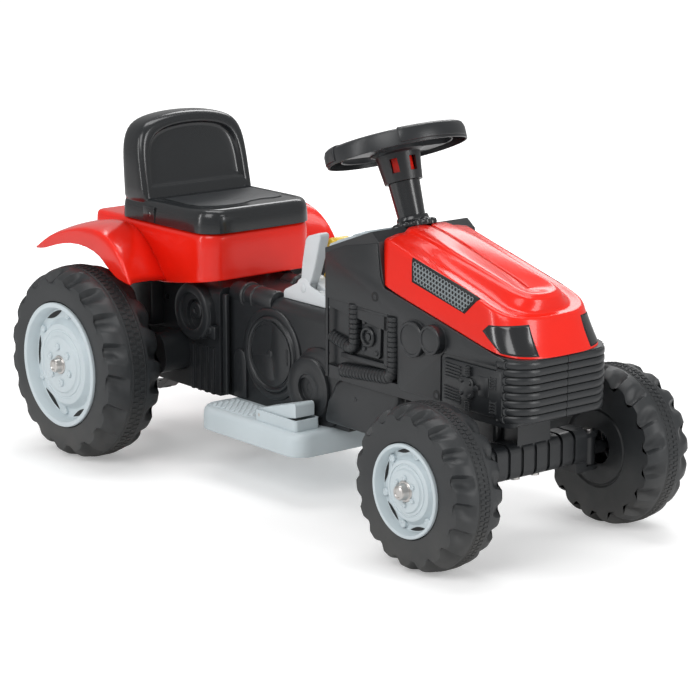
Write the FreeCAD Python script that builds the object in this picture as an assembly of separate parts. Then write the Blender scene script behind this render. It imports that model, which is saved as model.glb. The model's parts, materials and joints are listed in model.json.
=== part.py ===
import FreeCAD, Part
import math
import os

# Ride-on toy tractor with a battery drive: every piece as its own solid, in millimetres.
# +X is forwards, +Y is the driver's left and +Z is up; the origin is on the floor, midway along the tractor.
# Each section holds the sizes of one group of pieces, then the functions that build them.

Vector = FreeCAD.Vector
ORIGIN = Vector(0, 0, 0)
FORWARD = Vector(1, 0, 0)
LEFT = Vector(0, 1, 0)
UP = Vector(0, 0, 1)
FULL_TURN = 360.0
QUARTER_TURN = 90.0

# Driving sizes of the whole tractor
WHEELBASE = 760.0
REAR_TYRE_R = 147.0
FRONT_TYRE_R = 113.0
REAR_TRACK = 204.0
FRONT_TRACK = 172.0
WALL = 3.0
GAP = 0.4
RUN_GAP = 0.08
OVERRUN = 20.0
MIN_EDGE = 0.001

REAR_X = -(WHEELBASE + FRONT_TYRE_R - REAR_TYRE_R) / 2
FRONT_X = REAR_X + WHEELBASE
REAR_AXLE_AT = Vector(REAR_X, 0, REAR_TYRE_R)
FRONT_AXLE_AT = Vector(FRONT_X, 0, FRONT_TYRE_R)

parts = {}


def keep(name, *shapes):
    """Names a piece, or a group of like pieces."""
    parts[name] = shapes[0] if len(shapes) == 1 else Part.makeCompound(list(shapes))


def block(x0, x1, y0, y1, z0, z1):
    """Box between two corners."""
    return Part.makeBox(x1 - x0, y1 - y0, z1 - z0, Vector(x0, y0, z0))


def rod(start, end, radius):
    """Round bar from one point to another."""
    run = end - start
    return Part.makeCylinder(radius, run.Length, start, run)


def cross_rod(at, y0, y1, radius):
    """Round bar along Y, level with the point at."""
    return rod(Vector(at.x, y0, at.z), Vector(at.x, y1, at.z), radius)


def post(x, y, z0, z1, radius):
    """Upright round bar."""
    return rod(Vector(x, y, z0), Vector(x, y, z1), radius)


def with_radius(points):
    """Outline points as (u, v, corner radius)."""
    return [(p[0], p[1], p[2] if len(p) > 2 else 0) for p in points]


def corner(before, here, after):
    """Start, middle and end of the arc that rounds one corner, or the bare corner at radius zero."""
    u, v, radius = here
    if radius <= 0:
        return [(u, v)]
    arm_in = Vector(before[0] - u, before[1] - v, 0)
    arm_out = Vector(after[0] - u, after[1] - v, 0)
    half = arm_in.getAngle(arm_out) / 2
    arm_in.normalize()
    arm_out.normalize()
    reach = radius / math.tan(half)
    middle = (arm_in + arm_out).normalize() * (radius / math.sin(half) - radius)
    return [
        (u + arm_in.x * reach, v + arm_in.y * reach),
        (u + middle.x, v + middle.y),
        (u + arm_out.x * reach, v + arm_out.y * reach),
    ]


def outline(points, place):
    """Closed face through the points, each corner rounded by its radius, set in space by place(u, v)."""
    points = with_radius(points)
    count = len(points)
    corners = [corner(points[i - 1], points[i], points[(i + 1) % count]) for i in range(count)]
    edges = []
    for i in range(count):
        here = [place(u, v) for u, v in corners[i]]
        following = place(*corners[(i + 1) % count][0])
        if len(here) > 1:
            edges.append(Part.Arc(*here).toShape())
        if here[-1].distanceToPoint(following) > MIN_EDGE:
            edges.append(Part.LineSegment(here[-1], following).toShape())
    return Part.Face(Part.Wire(edges))


def outward(solid):
    """The solid with its faces turned outwards."""
    return solid.reversed() if solid.Volume < 0 else solid


def prism_x(points, x0, x1):
    """Outline of (y, z) points swept from x0 to x1."""
    return outward(outline(points, lambda u, v: Vector(x0, u, v)).extrude(FORWARD * (x1 - x0)))


def prism_y(points, y0, y1):
    """Outline of (x, z) points swept from y0 to y1."""
    return outward(outline(points, lambda u, v: Vector(u, y0, v)).extrude(LEFT * (y1 - y0)))


def prism_z(points, z0, z1):
    """Outline of (x, y) points swept from z0 to z1."""
    return outward(outline(points, lambda u, v: Vector(u, v, z0)).extrude(UP * (z1 - z0)))


def rectangle(u0, u1, v0, v1, radius=0.0):
    """Outline of a rectangle with rounded corners."""
    return [(u0, v0, radius), (u1, v0, radius), (u1, v1, radius), (u0, v1, radius)]


def inset(points, distance):
    """The outline moved inwards by distance."""
    points = with_radius(points)
    count = len(points)
    area = sum(points[i - 1][0] * points[i][1] - points[i][0] * points[i - 1][1] for i in range(count))
    shift = distance if area > 0 else -distance
    result = []
    for i in range(count):
        (u0, v0, _), (u1, v1, radius), (u2, v2, _) = points[i - 1], points[i], points[(i + 1) % count]
        first = Vector(u1 - u0, v1 - v0, 0).normalize()
        second = Vector(u2 - u1, v2 - v1, 0).normalize()
        turn = first.x * second.y - first.y * second.x
        slide = shift * turn / (1 + first.dot(second))
        inner = radius - shift if turn > 0 else radius + shift
        result.append((
            u1 - first.y * shift - first.x * slide,
            v1 + first.x * shift - first.y * slide,
            max(inner, 0) if radius else 0,
        ))
    return result


def turned(points, axis=LEFT):
    """Solid turned about an axis through the origin, from (radius, distance along the axis) points."""
    return outward(outline(points, lambda r, w: FORWARD * r + axis * w).revolve(ORIGIN, axis, FULL_TURN))


def mirrored(shape):
    """The other side's copy."""
    return shape.mirror(ORIGIN, LEFT)


def moved(shape, offset):
    """Copy of a shape, moved."""
    copy = shape.copy()
    copy.translate(offset)
    return copy


def spun(shape, angle, at=ORIGIN, axis=LEFT):
    """Copy of a shape, turned about an axis."""
    copy = shape.copy()
    copy.rotate(at, axis, angle)
    return copy


def ring_of(shape, count, axis=LEFT, first=0.0):
    """Copies of a shape, evenly spaced round an axis through the origin."""
    return [spun(shape, first + FULL_TURN * i / count, ORIGIN, axis) for i in range(count)]


def joined(*shapes):
    """One solid of touching or overlapping shapes."""
    return shapes[0].multiFuse(list(shapes[1:])).removeSplitter()


# Screws
SCREW_R = 2.0
SCREW_HEAD_R = 4.0
SCREW_HEAD_H = 2.5
SCREW_TIP_GAP = 1.0


def screw(head_at, along, length):
    """Pan-head screw: its head's flat side at head_at, its shank along the direction."""
    return joined(
        rod(head_at - along * SCREW_HEAD_H, head_at, SCREW_HEAD_R),
        rod(head_at, head_at + along * length, SCREW_R),
    )


def screw_hole(head_at, along, length):
    """Clearance for a screw's shank."""
    return rod(head_at, head_at + along * (length + SCREW_TIP_GAP), SCREW_R + GAP / 2)


# Wheels: a blow-moulded tyre, a rubber tread band in its groove and a grey rim in its outer face
AXLE_R = 6.0
STUB_R = 5.0
TYRE_WALL = 3.5
LUG_HEIGHT = 9.0
LUG_COUNT = 16
LUG_LAND_SHARE = 0.30
LUG_INSET = 1.5
SHOULDER_SHARE = 0.68
SIDEWALL_SHARE = 0.91
INNER_DISH_DEPTH = 14.0
INNER_DISH_SHARE = 0.42
INNER_DISH_SLOPE = 5.0
RIM_SEAT_SHARE = 0.80
RIM_PROUD = 4.0
RIM_WALL = 3.0
RIM_LIP_SHARE = 0.085
RIM_SLOPE_SHARE = 0.06
RIM_FLOOR_SHARE = 0.60
RIM_DISC_SHARE = 0.60
RIM_DISC_RISE_SHARE = 0.42
RIM_HUB_SHARE = 0.42
RIM_HUB_RISE = 4.0
RIM_SLEEVE_WALL = 5.0
RIM_WINDOWS = 6
RIM_WINDOW_ANGLE = 30.0
RIM_BOSS_SHARE = 0.075
RIM_BOSS_RISE = 7.0
RIM_BOLT_R = 3.0
RIM_BOLT_RISE = 2.5
RIM_BOLT_SHARE = 0.28

REAR_HALF_WIDTH = 46.0
REAR_BAND_HALF = 13.0
REAR_RIM_R = 95.0
FRONT_HALF_WIDTH = 39.0
FRONT_BAND_HALF = 10.0
FRONT_RIM_R = 63.5


def scalloped(radius, valley):
    """Edge of a ring of tread lugs about Y: raised lands with hollows between them."""
    pitch = 2 * math.pi / LUG_COUNT
    land = pitch * LUG_LAND_SHARE

    def at(angle, r):
        return Vector(r * math.cos(angle), 0, r * math.sin(angle))

    edges = []
    for i in range(LUG_COUNT):
        centre = i * pitch
        end = at(centre + land, radius)
        edges.append(Part.Arc(at(centre - land, radius), at(centre, radius), end).toShape())
        valley_at = at(centre + pitch / 2, valley)
        edges.append(Part.Arc(end, valley_at, at(centre + pitch - land, radius)).toShape())
    return Part.Face(Part.Wire(edges))


def tyre(radius, half, band_half, rim_r, shaft_r):
    """Hollow tyre about Y with its outer face towards -Y and lugs each side of the band's groove."""
    carcass_r = radius - LUG_HEIGHT
    side_r = radius * SIDEWALL_SHARE
    shoulder = half * SHOULDER_SHARE
    seat_y = half * (2 * RIM_SEAT_SHARE - 1) - half
    seat_r = rim_r + GAP
    dish_r = radius * INNER_DISH_SHARE
    dish_y = half - INNER_DISH_DEPTH
    bore = shaft_r + RUN_GAP
    skin = [
        (bore, dish_y), (bore, seat_y), (seat_r, seat_y), (seat_r, -half), (side_r, -half),
        (carcass_r, -shoulder), (carcass_r, shoulder), (side_r, half),
        (dish_r + INNER_DISH_SLOPE, half), (dish_r, dish_y),
    ]
    root_r = carcass_r - TYRE_WALL / 2
    lug_r = radius - LUG_INSET
    dome = [
        (side_r - TYRE_WALL, LUG_INSET - half), (side_r, LUG_INSET - half), (lug_r, -shoulder),
        (lug_r, -band_half), (root_r, -band_half), (root_r, -shoulder),
    ]
    prism = moved(outward(scalloped(lug_r, carcass_r - LUG_INSET).extrude(LEFT * half)), LEFT * -half)
    lugs = prism.common(turned(dome))
    return joined(turned(skin), lugs, mirrored(lugs)).cut(turned(inset(skin, TYRE_WALL)))


def tread_band(radius, band_half):
    """Rubber band in the tyre's groove."""
    return turned(rectangle(radius - LUG_HEIGHT + GAP / 2, radius, GAP - band_half, band_half - GAP))


def rim_window(inner_r, outer_r, y0, y1):
    """Curved slot through the rim's floor."""
    spread = math.radians(RIM_WINDOW_ANGLE / 2)
    tip = 2 * outer_r
    wedge = [(0, 0), (tip, -tip * math.tan(spread)), (tip, tip * math.tan(spread))]
    return turned(rectangle(inner_r, outer_r, y0, y1)).common(prism_y(wedge, y0, y1))


def rim(half, rim_r, shaft_r):
    """Dished rim about Y: lip, wall, floor with windows and bosses, raised disc, hub and sleeve."""
    lip_y = -half - RIM_PROUD
    floor_y = lip_y + half * RIM_FLOOR_SHARE
    disc_y = floor_y - half * RIM_DISC_RISE_SHARE
    hub_y = disc_y - RIM_HUB_RISE
    seat_y = half * (2 * RIM_SEAT_SHARE - 1) - half
    slope = rim_r * RIM_SLOPE_SHARE
    lip_r = rim_r * (1 - RIM_LIP_SHARE)
    wall_r = lip_r - slope
    disc_r = rim_r * RIM_DISC_SHARE
    hub_r = rim_r * RIM_HUB_SHARE
    bore = shaft_r + RUN_GAP
    face = [
        (rim_r, lip_y), (lip_r, lip_y), (wall_r, floor_y), (disc_r + slope, floor_y), (disc_r, disc_y),
        (hub_r + slope, disc_y), (hub_r, hub_y), (bore, hub_y),
    ]
    back = [
        (bore, hub_y + RIM_WALL), (hub_r - RIM_WALL, hub_y + RIM_WALL),
        (hub_r + slope - RIM_WALL, disc_y + RIM_WALL),
        (disc_r - RIM_WALL, disc_y + RIM_WALL), (disc_r + slope - RIM_WALL, floor_y + RIM_WALL),
        (wall_r + RIM_WALL, floor_y + RIM_WALL), (lip_r + RIM_WALL, lip_y + RIM_WALL),
        (rim_r, lip_y + RIM_WALL),
    ]
    sleeve = turned(rectangle(bore, shaft_r + RIM_SLEEVE_WALL, hub_y, seat_y))
    window = rim_window(disc_r + slope, wall_r, floor_y - RIM_WALL, floor_y + 2 * RIM_WALL)
    boss_at = Vector((disc_r + slope + wall_r) / 2, floor_y, 0)
    boss = rod(boss_at + LEFT * RIM_WALL, boss_at - LEFT * RIM_BOSS_RISE, rim_r * RIM_BOSS_SHARE)
    bolt_at = Vector(rim_r * RIM_BOLT_SHARE, hub_y, 0)
    bolt = rod(bolt_at + LEFT * RIM_WALL, bolt_at - LEFT * RIM_BOLT_RISE, RIM_BOLT_R)
    pitch = FULL_TURN / RIM_WINDOWS
    dish = turned(face + back).cut(Part.makeCompound(ring_of(window, RIM_WINDOWS)))
    return joined(dish, sleeve, *ring_of(boss, RIM_WINDOWS, LEFT, pitch / 2), *ring_of(bolt, RIM_WINDOWS))


def wheel(prefix, side, at, track, sizes, shaft_r):
    """Tyre, band and rim of one wheel; side is -1 on the right and 1 on the left."""
    radius, half, band_half, rim_r = sizes
    hub = Vector(at.x, side * track, at.z)
    pieces = {
        "tyre": tyre(radius, half, band_half, rim_r, shaft_r),
        "band": tread_band(radius, band_half),
        "rim": rim(half, rim_r, shaft_r),
    }
    for kind, shape in pieces.items():
        turned_out = shape if side < 0 else mirrored(shape)
        keep(prefix + "_" + kind + ("_right" if side < 0 else "_left"), moved(turned_out, hub))


for wheel_side in (-1, 1):
    wheel("rear", wheel_side, REAR_AXLE_AT, REAR_TRACK,
          (REAR_TYRE_R, REAR_HALF_WIDTH, REAR_BAND_HALF, REAR_RIM_R), AXLE_R)
    wheel("front", wheel_side, FRONT_AXLE_AT, FRONT_TRACK,
          (FRONT_TYRE_R, FRONT_HALF_WIDTH, FRONT_BAND_HALF, FRONT_RIM_R), STUB_R)


# Axle nuts: washer, hexagon and domed cap over the end of the shaft
NUT_WASHER_H = 2.0
NUT_H = 6.0
NUT_CAP_H = 5.0
NUT_WASHER_SHARE = 1.9
NUT_ACROSS_SHARE = 1.55


def axle_nut(shaft_r):
    """Nut about Y with its washer at y = 0, pointing to -Y, bored for the shaft."""
    corner_r = shaft_r * NUT_ACROSS_SHARE
    angles = [math.radians(QUARTER_TURN * 2 / 3 * i) for i in range(6)]
    hexagon = [(corner_r * math.cos(a), corner_r * math.sin(a)) for a in angles]
    cap_r = corner_r * math.cos(math.radians(QUARTER_TURN / 3))
    body = joined(
        turned(rectangle(0, shaft_r * NUT_WASHER_SHARE, -NUT_WASHER_H, 0)),
        prism_y(hexagon, -NUT_WASHER_H - NUT_H, -NUT_WASHER_H),
        turned([(0, -NUT_WASHER_H), (cap_r, -NUT_WASHER_H - NUT_H),
                (shaft_r, -NUT_WASHER_H - NUT_H - NUT_CAP_H), (0, -NUT_WASHER_H - NUT_H - NUT_CAP_H)]),
    )
    return body.cut(turned(rectangle(0, shaft_r, -NUT_WASHER_H - NUT_H, 0)))


def hub_reach(track, half):
    """Distance of a rim's hub face from the centre plane."""
    floor = -RIM_PROUD + half * RIM_FLOOR_SHARE
    return track + half - floor + half * RIM_DISC_RISE_SHARE + RIM_HUB_RISE


REAR_NUT_Y = hub_reach(REAR_TRACK, REAR_HALF_WIDTH) + GAP
FRONT_NUT_Y = hub_reach(FRONT_TRACK, FRONT_HALF_WIDTH) + GAP

rear_nut = moved(axle_nut(AXLE_R), REAR_AXLE_AT - LEFT * REAR_NUT_Y)
keep("rear_axle_nuts", rear_nut, mirrored(rear_nut))
front_nut = moved(axle_nut(STUB_R), FRONT_AXLE_AT - LEFT * FRONT_NUT_Y)
keep("front_nut_right", front_nut)
keep("front_nut_left", mirrored(front_nut))
AXLE_END = REAR_NUT_Y + NUT_WASHER_H + NUT_H
keep("rear_axle", cross_rod(REAR_AXLE_AT, -AXLE_END, AXLE_END, AXLE_R))

# Chassis, moulded as a right and a left half: rear housing, tunnel, sump and the engine cowl
BELLY_Z = 105.0
TUNNEL_TOP = 270.0
TUNNEL_HALF = 62.0
TUNNEL_ROUND = 18.0
HOUSING_HALF = 78.0
HOUSING_AHEAD = 175.0
HOUSING_BEHIND = 45.0
HOUSING_ROUND = 12.0
COWL_HALF = 88.0
COWL_REACH = 320.0
COWL_FOOT = 188.0
COWL_AHEAD = 78.0
COWL_NOSE_R = 38.0
COWL_CORNER_R = 10.0
SUMP_HALF = 70.0
SUMP_Z = 115.0
SUMP_REACH = 192.0
SEAM_FRONT_Z = 279.0
SEAM_KNEE_AHEAD = 33.0
SEAM_KNEE_Z = 283.0
SEAM_REAR_REACH = 191.0
SEAM_REAR_Z = 336.0
HOOD_REAR_REACH = 203.0
HOOD_REAR_Z = 398.0
RECESS = 8.0
RECESS_REACH = 78.0
RECESS_REAR_Z = 294.0
RECESS_FRONT_Z = 264.0
RECESS_LOW_Z = 206.0

# Steering column: its axis leans back from the driver's side of the hood
COLUMN_TILT = 20.0
WHEEL_REACH = 272.0
WHEEL_Z = 514.0
COLUMN_LENGTH = 116.0
RIDGE_AHEAD = 14.0
DASH_LENGTH = 93.3
ROD_R = 6.0
BUSH_R = 9.0
BUSH_H = 14.0
COLLAR_R = 32.0

COLUMN_UP = Vector(-math.sin(math.radians(COLUMN_TILT)), 0, math.cos(math.radians(COLUMN_TILT)))
COLUMN_ACROSS = Vector(COLUMN_UP.z, 0, -COLUMN_UP.x)
COLUMN_AT = Vector(FRONT_X - WHEEL_REACH, 0, WHEEL_Z)
COLUMN_FOOT = COLUMN_AT - COLUMN_UP * COLUMN_LENGTH
HOUSING_REAR_X = REAR_X - HOUSING_BEHIND
HOUSING_FRONT_X = REAR_X + HOUSING_AHEAD
COWL_REAR_X = FRONT_X - COWL_REACH
COWL_FRONT_X = FRONT_X + COWL_AHEAD
SUMP_FRONT_X = FRONT_X - SUMP_REACH
KNEE_X = FRONT_X + SEAM_KNEE_AHEAD
SEAM_REAR_X = FRONT_X - SEAM_REAR_REACH
HOOD_REAR_X = FRONT_X - HOOD_REAR_REACH


def on_column(shape):
    """Sets a shape built about Z at the origin on the steering axis, at the centre of the steering wheel."""
    return moved(spun(shape, -COLUMN_TILT), COLUMN_AT)


def column_point(across, along):
    """Outline point (x, z) given across and along the steering axis from the column's foot."""
    at = COLUMN_FOOT + COLUMN_ACROSS * across + COLUMN_UP * along
    return (at.x, at.z)


def cowl_side():
    """Side outline of the engine cowl, under the hood's seam."""
    return [
        (COWL_REAR_X, COWL_FOOT, COWL_CORNER_R),
        (COWL_FRONT_X - COWL_CORNER_R, COWL_FOOT, COWL_CORNER_R),
        (COWL_FRONT_X, SEAM_FRONT_Z),
        (KNEE_X, SEAM_KNEE_Z),
        (SEAM_REAR_X, SEAM_REAR_Z),
        (HOOD_REAR_X, HOOD_REAR_Z),
        column_point(RIDGE_AHEAD, 0),
        column_point(-DASH_LENGTH, 0),
    ]


def nose_plan(front_x, half, radius):
    """Top outline of the nose: straight sides and rounded corners."""
    rear_x = COWL_REAR_X - OVERRUN
    return [(rear_x, half), (rear_x, -half), (front_x, -half, radius), (front_x, half, radius)]


def engine_recess():
    """Side outline of the sunken engine panel."""
    rear_x = COWL_REAR_X - OVERRUN
    front_x = FRONT_X - RECESS_REACH
    return [
        (rear_x, RECESS_LOW_Z), (front_x, RECESS_LOW_Z, COWL_CORNER_R),
        (front_x, RECESS_FRONT_Z, COWL_CORNER_R), (rear_x, RECESS_REAR_Z),
    ]


def arched(x0, x1, half, z0, z1, radius):
    """Body along X with rounded top edges."""
    return prism_x([(-half, z0), (half, z0), (half, z1, radius), (-half, z1, radius)], x0, x1)


def cowl_solid(thickness):
    """Engine cowl with its sunken side panels, its walls moved in by thickness."""
    half = COWL_HALF - thickness
    cowl = prism_y(inset(cowl_side(), thickness), -half, half).common(
        prism_z(nose_plan(COWL_FRONT_X - thickness, half, COWL_NOSE_R - thickness), 0, WHEEL_Z))
    recess = prism_y(inset(engine_recess(), -thickness), -COWL_HALF - OVERRUN, RECESS + thickness - COWL_HALF)
    return cowl.cut(recess).cut(mirrored(recess))


def chassis_solid(thickness, run):
    """The chassis as one solid, its walls moved in by thickness, its blocks overlapping by run."""
    roof = TUNNEL_TOP - thickness
    floor = BELLY_Z + thickness
    return joined(
        cowl_solid(thickness),
        arched(HOUSING_REAR_X + thickness, HOUSING_FRONT_X - thickness, HOUSING_HALF - thickness,
               floor, roof, HOUSING_ROUND),
        arched(HOUSING_FRONT_X - run, COWL_REAR_X + run, TUNNEL_HALF - thickness, floor, roof, TUNNEL_ROUND),
        block(COWL_REAR_X - run, SUMP_FRONT_X - thickness, thickness - SUMP_HALF, SUMP_HALF - thickness,
              SUMP_Z + thickness, COWL_FOOT + run),
    )


# Raised and sunken features on the chassis sides
DISC_AHEAD = 277.0
DISC_Z = 189.0
DISC_R = 48.0
DISC_RISE = 4.0
DISC_FACE_R = 42.0
DISC_SINK = 3.0
CRANK_AHEAD = 376.0
CRANK_Z = 154.0
CRANK_R = 43.0
CRANK_RISE = 12.0
CRANK_HOLE_R = 17.0
CRANK_HOLE_SINK = 9.0
PORT_AHEAD = 128.0
PORT_Z = 224.0
PORT_R = 38.0
PORT_RISE = 10.0
PORT_HOLE_R = 24.0
PORT_HOLE_SINK = 7.0
RIB_FIRST_AHEAD = 104.0
RIB_PITCH = 17.0
RIB_COUNT = 4
RIB_WIDTH = 7.0
RIB_RISE = 3.0
RIB_TOP_Z = 176.0


def side_disc(x, z, radius, half, rise, hole_r, sink):
    """Round pads on both sides of the chassis and the sunken faces cut into them."""
    at = Vector(x, 0, z)
    pad = cross_rod(at, -half - rise, half + rise, radius)
    hole = cross_rod(at, -half - rise - OVERRUN, sink - half - rise, hole_r)
    return pad, Part.makeCompound([hole, mirrored(hole)])


def side_features():
    """Pads to add to the chassis sides and hollows to take from them."""
    discs = [
        side_disc(REAR_X + PORT_AHEAD, PORT_Z, PORT_R, HOUSING_HALF, PORT_RISE, PORT_HOLE_R, PORT_HOLE_SINK),
        side_disc(REAR_X + DISC_AHEAD, DISC_Z, DISC_R, TUNNEL_HALF, DISC_RISE, DISC_FACE_R, DISC_SINK),
        side_disc(REAR_X + CRANK_AHEAD, CRANK_Z, CRANK_R, TUNNEL_HALF, CRANK_RISE,
                  CRANK_HOLE_R, CRANK_HOLE_SINK),
    ]
    ribs = []
    for i in range(RIB_COUNT):
        x = REAR_X + RIB_FIRST_AHEAD + i * RIB_PITCH
        out = HOUSING_HALF + RIB_RISE
        ribs.append(block(x, x + RIB_WIDTH, -out, out, BELLY_Z, RIB_TOP_Z))
    return [pad for pad, _ in discs] + ribs, [hole for _, hole in discs]


# Louvres round the front of the cowl
LOUVRE_COUNT = 6
LOUVRE_FIRST_Z = 204.0
LOUVRE_PITCH = 11.0
LOUVRE_HEIGHT = 5.0
LOUVRE_DEPTH = 2.0
LOUVRE_AHEAD = 52.0


def louvres():
    """Grooves wrapped round the grille."""
    plan = nose_plan(COWL_FRONT_X, COWL_HALF, COWL_NOSE_R)
    grooves = []
    for i in range(LOUVRE_COUNT):
        z0 = LOUVRE_FIRST_Z + i * LOUVRE_PITCH
        band = prism_z(inset(plan, -OVERRUN), z0, z0 + LOUVRE_HEIGHT)
        core = prism_z(inset(plan, LOUVRE_DEPTH), z0, z0 + LOUVRE_HEIGHT)
        front = block(FRONT_X + LOUVRE_AHEAD, COWL_FRONT_X + 2 * OVERRUN, -2 * COWL_HALF, 2 * COWL_HALF,
                      z0, z0 + LOUVRE_HEIGHT)
        grooves.append(band.cut(core).common(front))
    return grooves


# Screws that hold the chassis halves together, deep in bosses that meet on the centre plane
BOSS_R = 8.0
BOSS_BORE_R = 5.0
BOSS_FLOOR = 10.0
BODY_SCREW_LENGTH = 26.0
COWL_BOSS_IN = 50.0
COWL_BOSS_AHEAD = 42.0
COWL_BOSS_Z = 232.0
SUMP_BOSS_IN = 30.0
SUMP_BOSS_Z = 150.0
TUNNEL_BOSS_BACK = 118.0
TUNNEL_BOSS_Z = 240.0
HOUSING_BOSS_AHEAD = 40.0
HOUSING_BOSS_Z = 236.0
BODY_SCREW_SPOTS = [
    (COWL_REAR_X + COWL_BOSS_IN, COWL_BOSS_Z, COWL_HALF),
    (FRONT_X + COWL_BOSS_AHEAD, COWL_BOSS_Z, COWL_HALF),
    (COWL_REAR_X + SUMP_BOSS_IN, SUMP_BOSS_Z, SUMP_HALF),
    (COWL_REAR_X - TUNNEL_BOSS_BACK, TUNNEL_BOSS_Z, TUNNEL_HALF),
    (REAR_X + HOUSING_BOSS_AHEAD, HOUSING_BOSS_Z, HOUSING_HALF),
]


def boss_pair(x, z, half):
    """Screw bosses across both halves, the counterbore and the screw."""
    at = Vector(x, 0, z)
    tube = cross_rod(at, WALL / 2 - half, half - WALL / 2, BOSS_R)
    head_at = Vector(x, -BOSS_FLOOR, z)
    bore = cross_rod(at, -half - OVERRUN, -BOSS_FLOOR, BOSS_BORE_R)
    hole = bore.fuse(screw_hole(head_at, LEFT, BODY_SCREW_LENGTH))
    return tube, hole, screw(head_at, LEFT, BODY_SCREW_LENGTH)


# Battery, motor and gear train sizes that the chassis is cut for
MOTOR_R = 18.0
MOTOR_LENGTH = 58.0
GEAR_TILT = 10.0
GEAR_MODULE = 1.5
DRIVE_TEETH = 40
IDLER_TEETH = 12
IDLER_WHEEL_TEETH = 36
PINION_TEETH = 10
GEAR_AXIS = Vector(math.cos(math.radians(GEAR_TILT)), 0, math.sin(math.radians(GEAR_TILT)))
IDLER_AT = REAR_AXLE_AT + GEAR_AXIS * (GEAR_MODULE * (DRIVE_TEETH + IDLER_TEETH) / 2)
MOTOR_AT = IDLER_AT + GEAR_AXIS * (GEAR_MODULE * (IDLER_WHEEL_TEETH + PINION_TEETH) / 2)

# Fasteners and openings shared by the chassis and its neighbours
AXLE_BUSH_R = 10.0
AXLE_BUSH_FLANGE_R = 15.0
AXLE_BUSH_FLANGE_H = 2.5
BEAM_BOLT_Y = 18.0
BEAM_BOLT_R = 4.0
SOCKET_R = 8.0
SOCKET_Y = -40.0
SOCKET_Z = 330.0
FENDER_SCREW_BEHIND = 25.0
FENDER_SCREW_AHEAD = 130.0
FENDER_SCREW_Y = 45.0
FENDER_SCREW_SPOTS = [
    (REAR_X - FENDER_SCREW_BEHIND, FENDER_SCREW_Y), (REAR_X + FENDER_SCREW_AHEAD, FENDER_SCREW_Y),
]
FENDER_SCREW_LENGTH = 18.0
HOOD_SCREW_AHEADS = [-150.0, 10.0]
HOOD_SCREW_Y = 40.0
HOOD_SCREW_LENGTH = 20.0
HOOD_HEAD_DROP = 4.2
FOOT_SCREW_AHEADS = [235.0, 390.0]
FOOT_SCREW_Y = 40.0
FOOT_SCREW_LENGTH = 12.0


def seam_z(x):
    """Height of the hood's seam at x."""
    share = (x - SEAM_REAR_X) / (KNEE_X - SEAM_REAR_X)
    return SEAM_REAR_Z + share * (SEAM_KNEE_Z - SEAM_REAR_Z)


def upright_screws(spots, z_of, length):
    """Screws that point up from the chassis roof or floor, on both sides, and their holes."""
    screws, holes = [], []
    for x, y in spots:
        for side in (-1, 1):
            head_at = Vector(x, side * y, z_of(x))
            screws.append(screw(head_at, UP, length))
            holes.append(screw_hole(head_at - UP * WALL, UP, length + WALL))
    return screws, holes


HOOD_SCREW_SPOTS = [(FRONT_X + ahead, HOOD_SCREW_Y) for ahead in HOOD_SCREW_AHEADS]
FOOT_SCREW_SPOTS = [(REAR_X + ahead, FOOT_SCREW_Y) for ahead in FOOT_SCREW_AHEADS]
hood_screws, hood_holes = upright_screws(
    HOOD_SCREW_SPOTS, lambda x: seam_z(x) - HOOD_HEAD_DROP, HOOD_SCREW_LENGTH)
fender_screws, fender_holes = upright_screws(
    FENDER_SCREW_SPOTS, lambda x: TUNNEL_TOP - WALL, FENDER_SCREW_LENGTH)
foot_screws, foot_holes = upright_screws(FOOT_SCREW_SPOTS, lambda x: BELLY_Z - WALL, FOOT_SCREW_LENGTH)


def chassis():
    """Both chassis halves and the screws between them."""
    pads, hollows = side_features()
    bosses = [boss_pair(*spot) for spot in BODY_SCREW_SPOTS]
    cavity = chassis_solid(WALL, OVERRUN).cut([tube for tube, _, _ in bosses])
    shell = joined(chassis_solid(0, OVERRUN), *pads).cut(cavity)
    screw_ways = hood_holes + fender_holes + foot_holes
    openings = [bore for _, bore, _ in bosses] + hollows + louvres() + screw_ways + [
        cross_rod(REAR_AXLE_AT, -HOUSING_HALF - OVERRUN, HOUSING_HALF + OVERRUN, AXLE_BUSH_R),
        cross_rod(MOTOR_AT, -HOUSING_HALF - OVERRUN, -TUNNEL_HALF, MOTOR_R + GAP),
        rod(COLUMN_FOOT + COLUMN_UP * OVERRUN, COLUMN_FOOT - COLUMN_UP * WHEEL_Z, BUSH_R),
        rod(Vector(COWL_REAR_X - OVERRUN, SOCKET_Y, SOCKET_Z),
            Vector(COWL_REAR_X + OVERRUN, SOCKET_Y, SOCKET_Z), SOCKET_R + GAP / 2),
    ]
    for side in (-1, 1):
        openings.append(post(FRONT_X, side * BEAM_BOLT_Y, COWL_FOOT - OVERRUN, COWL_FOOT + OVERRUN,
                             BEAM_BOLT_R + GAP / 2))
    shell = shell.cut(openings)
    reach = WHEELBASE
    right = shell.common(block(-reach, reach, -reach, 0, 0, reach))
    left = shell.common(block(-reach, reach, 0, reach, 0, reach))
    return right, left, [piece for _, _, piece in bosses]


chassis_right, chassis_left, body_screws = chassis()
keep("chassis_right", chassis_right)
keep("chassis_left", chassis_left)
keep("body_screws", *body_screws, *hood_screws, *fender_screws)


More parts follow.
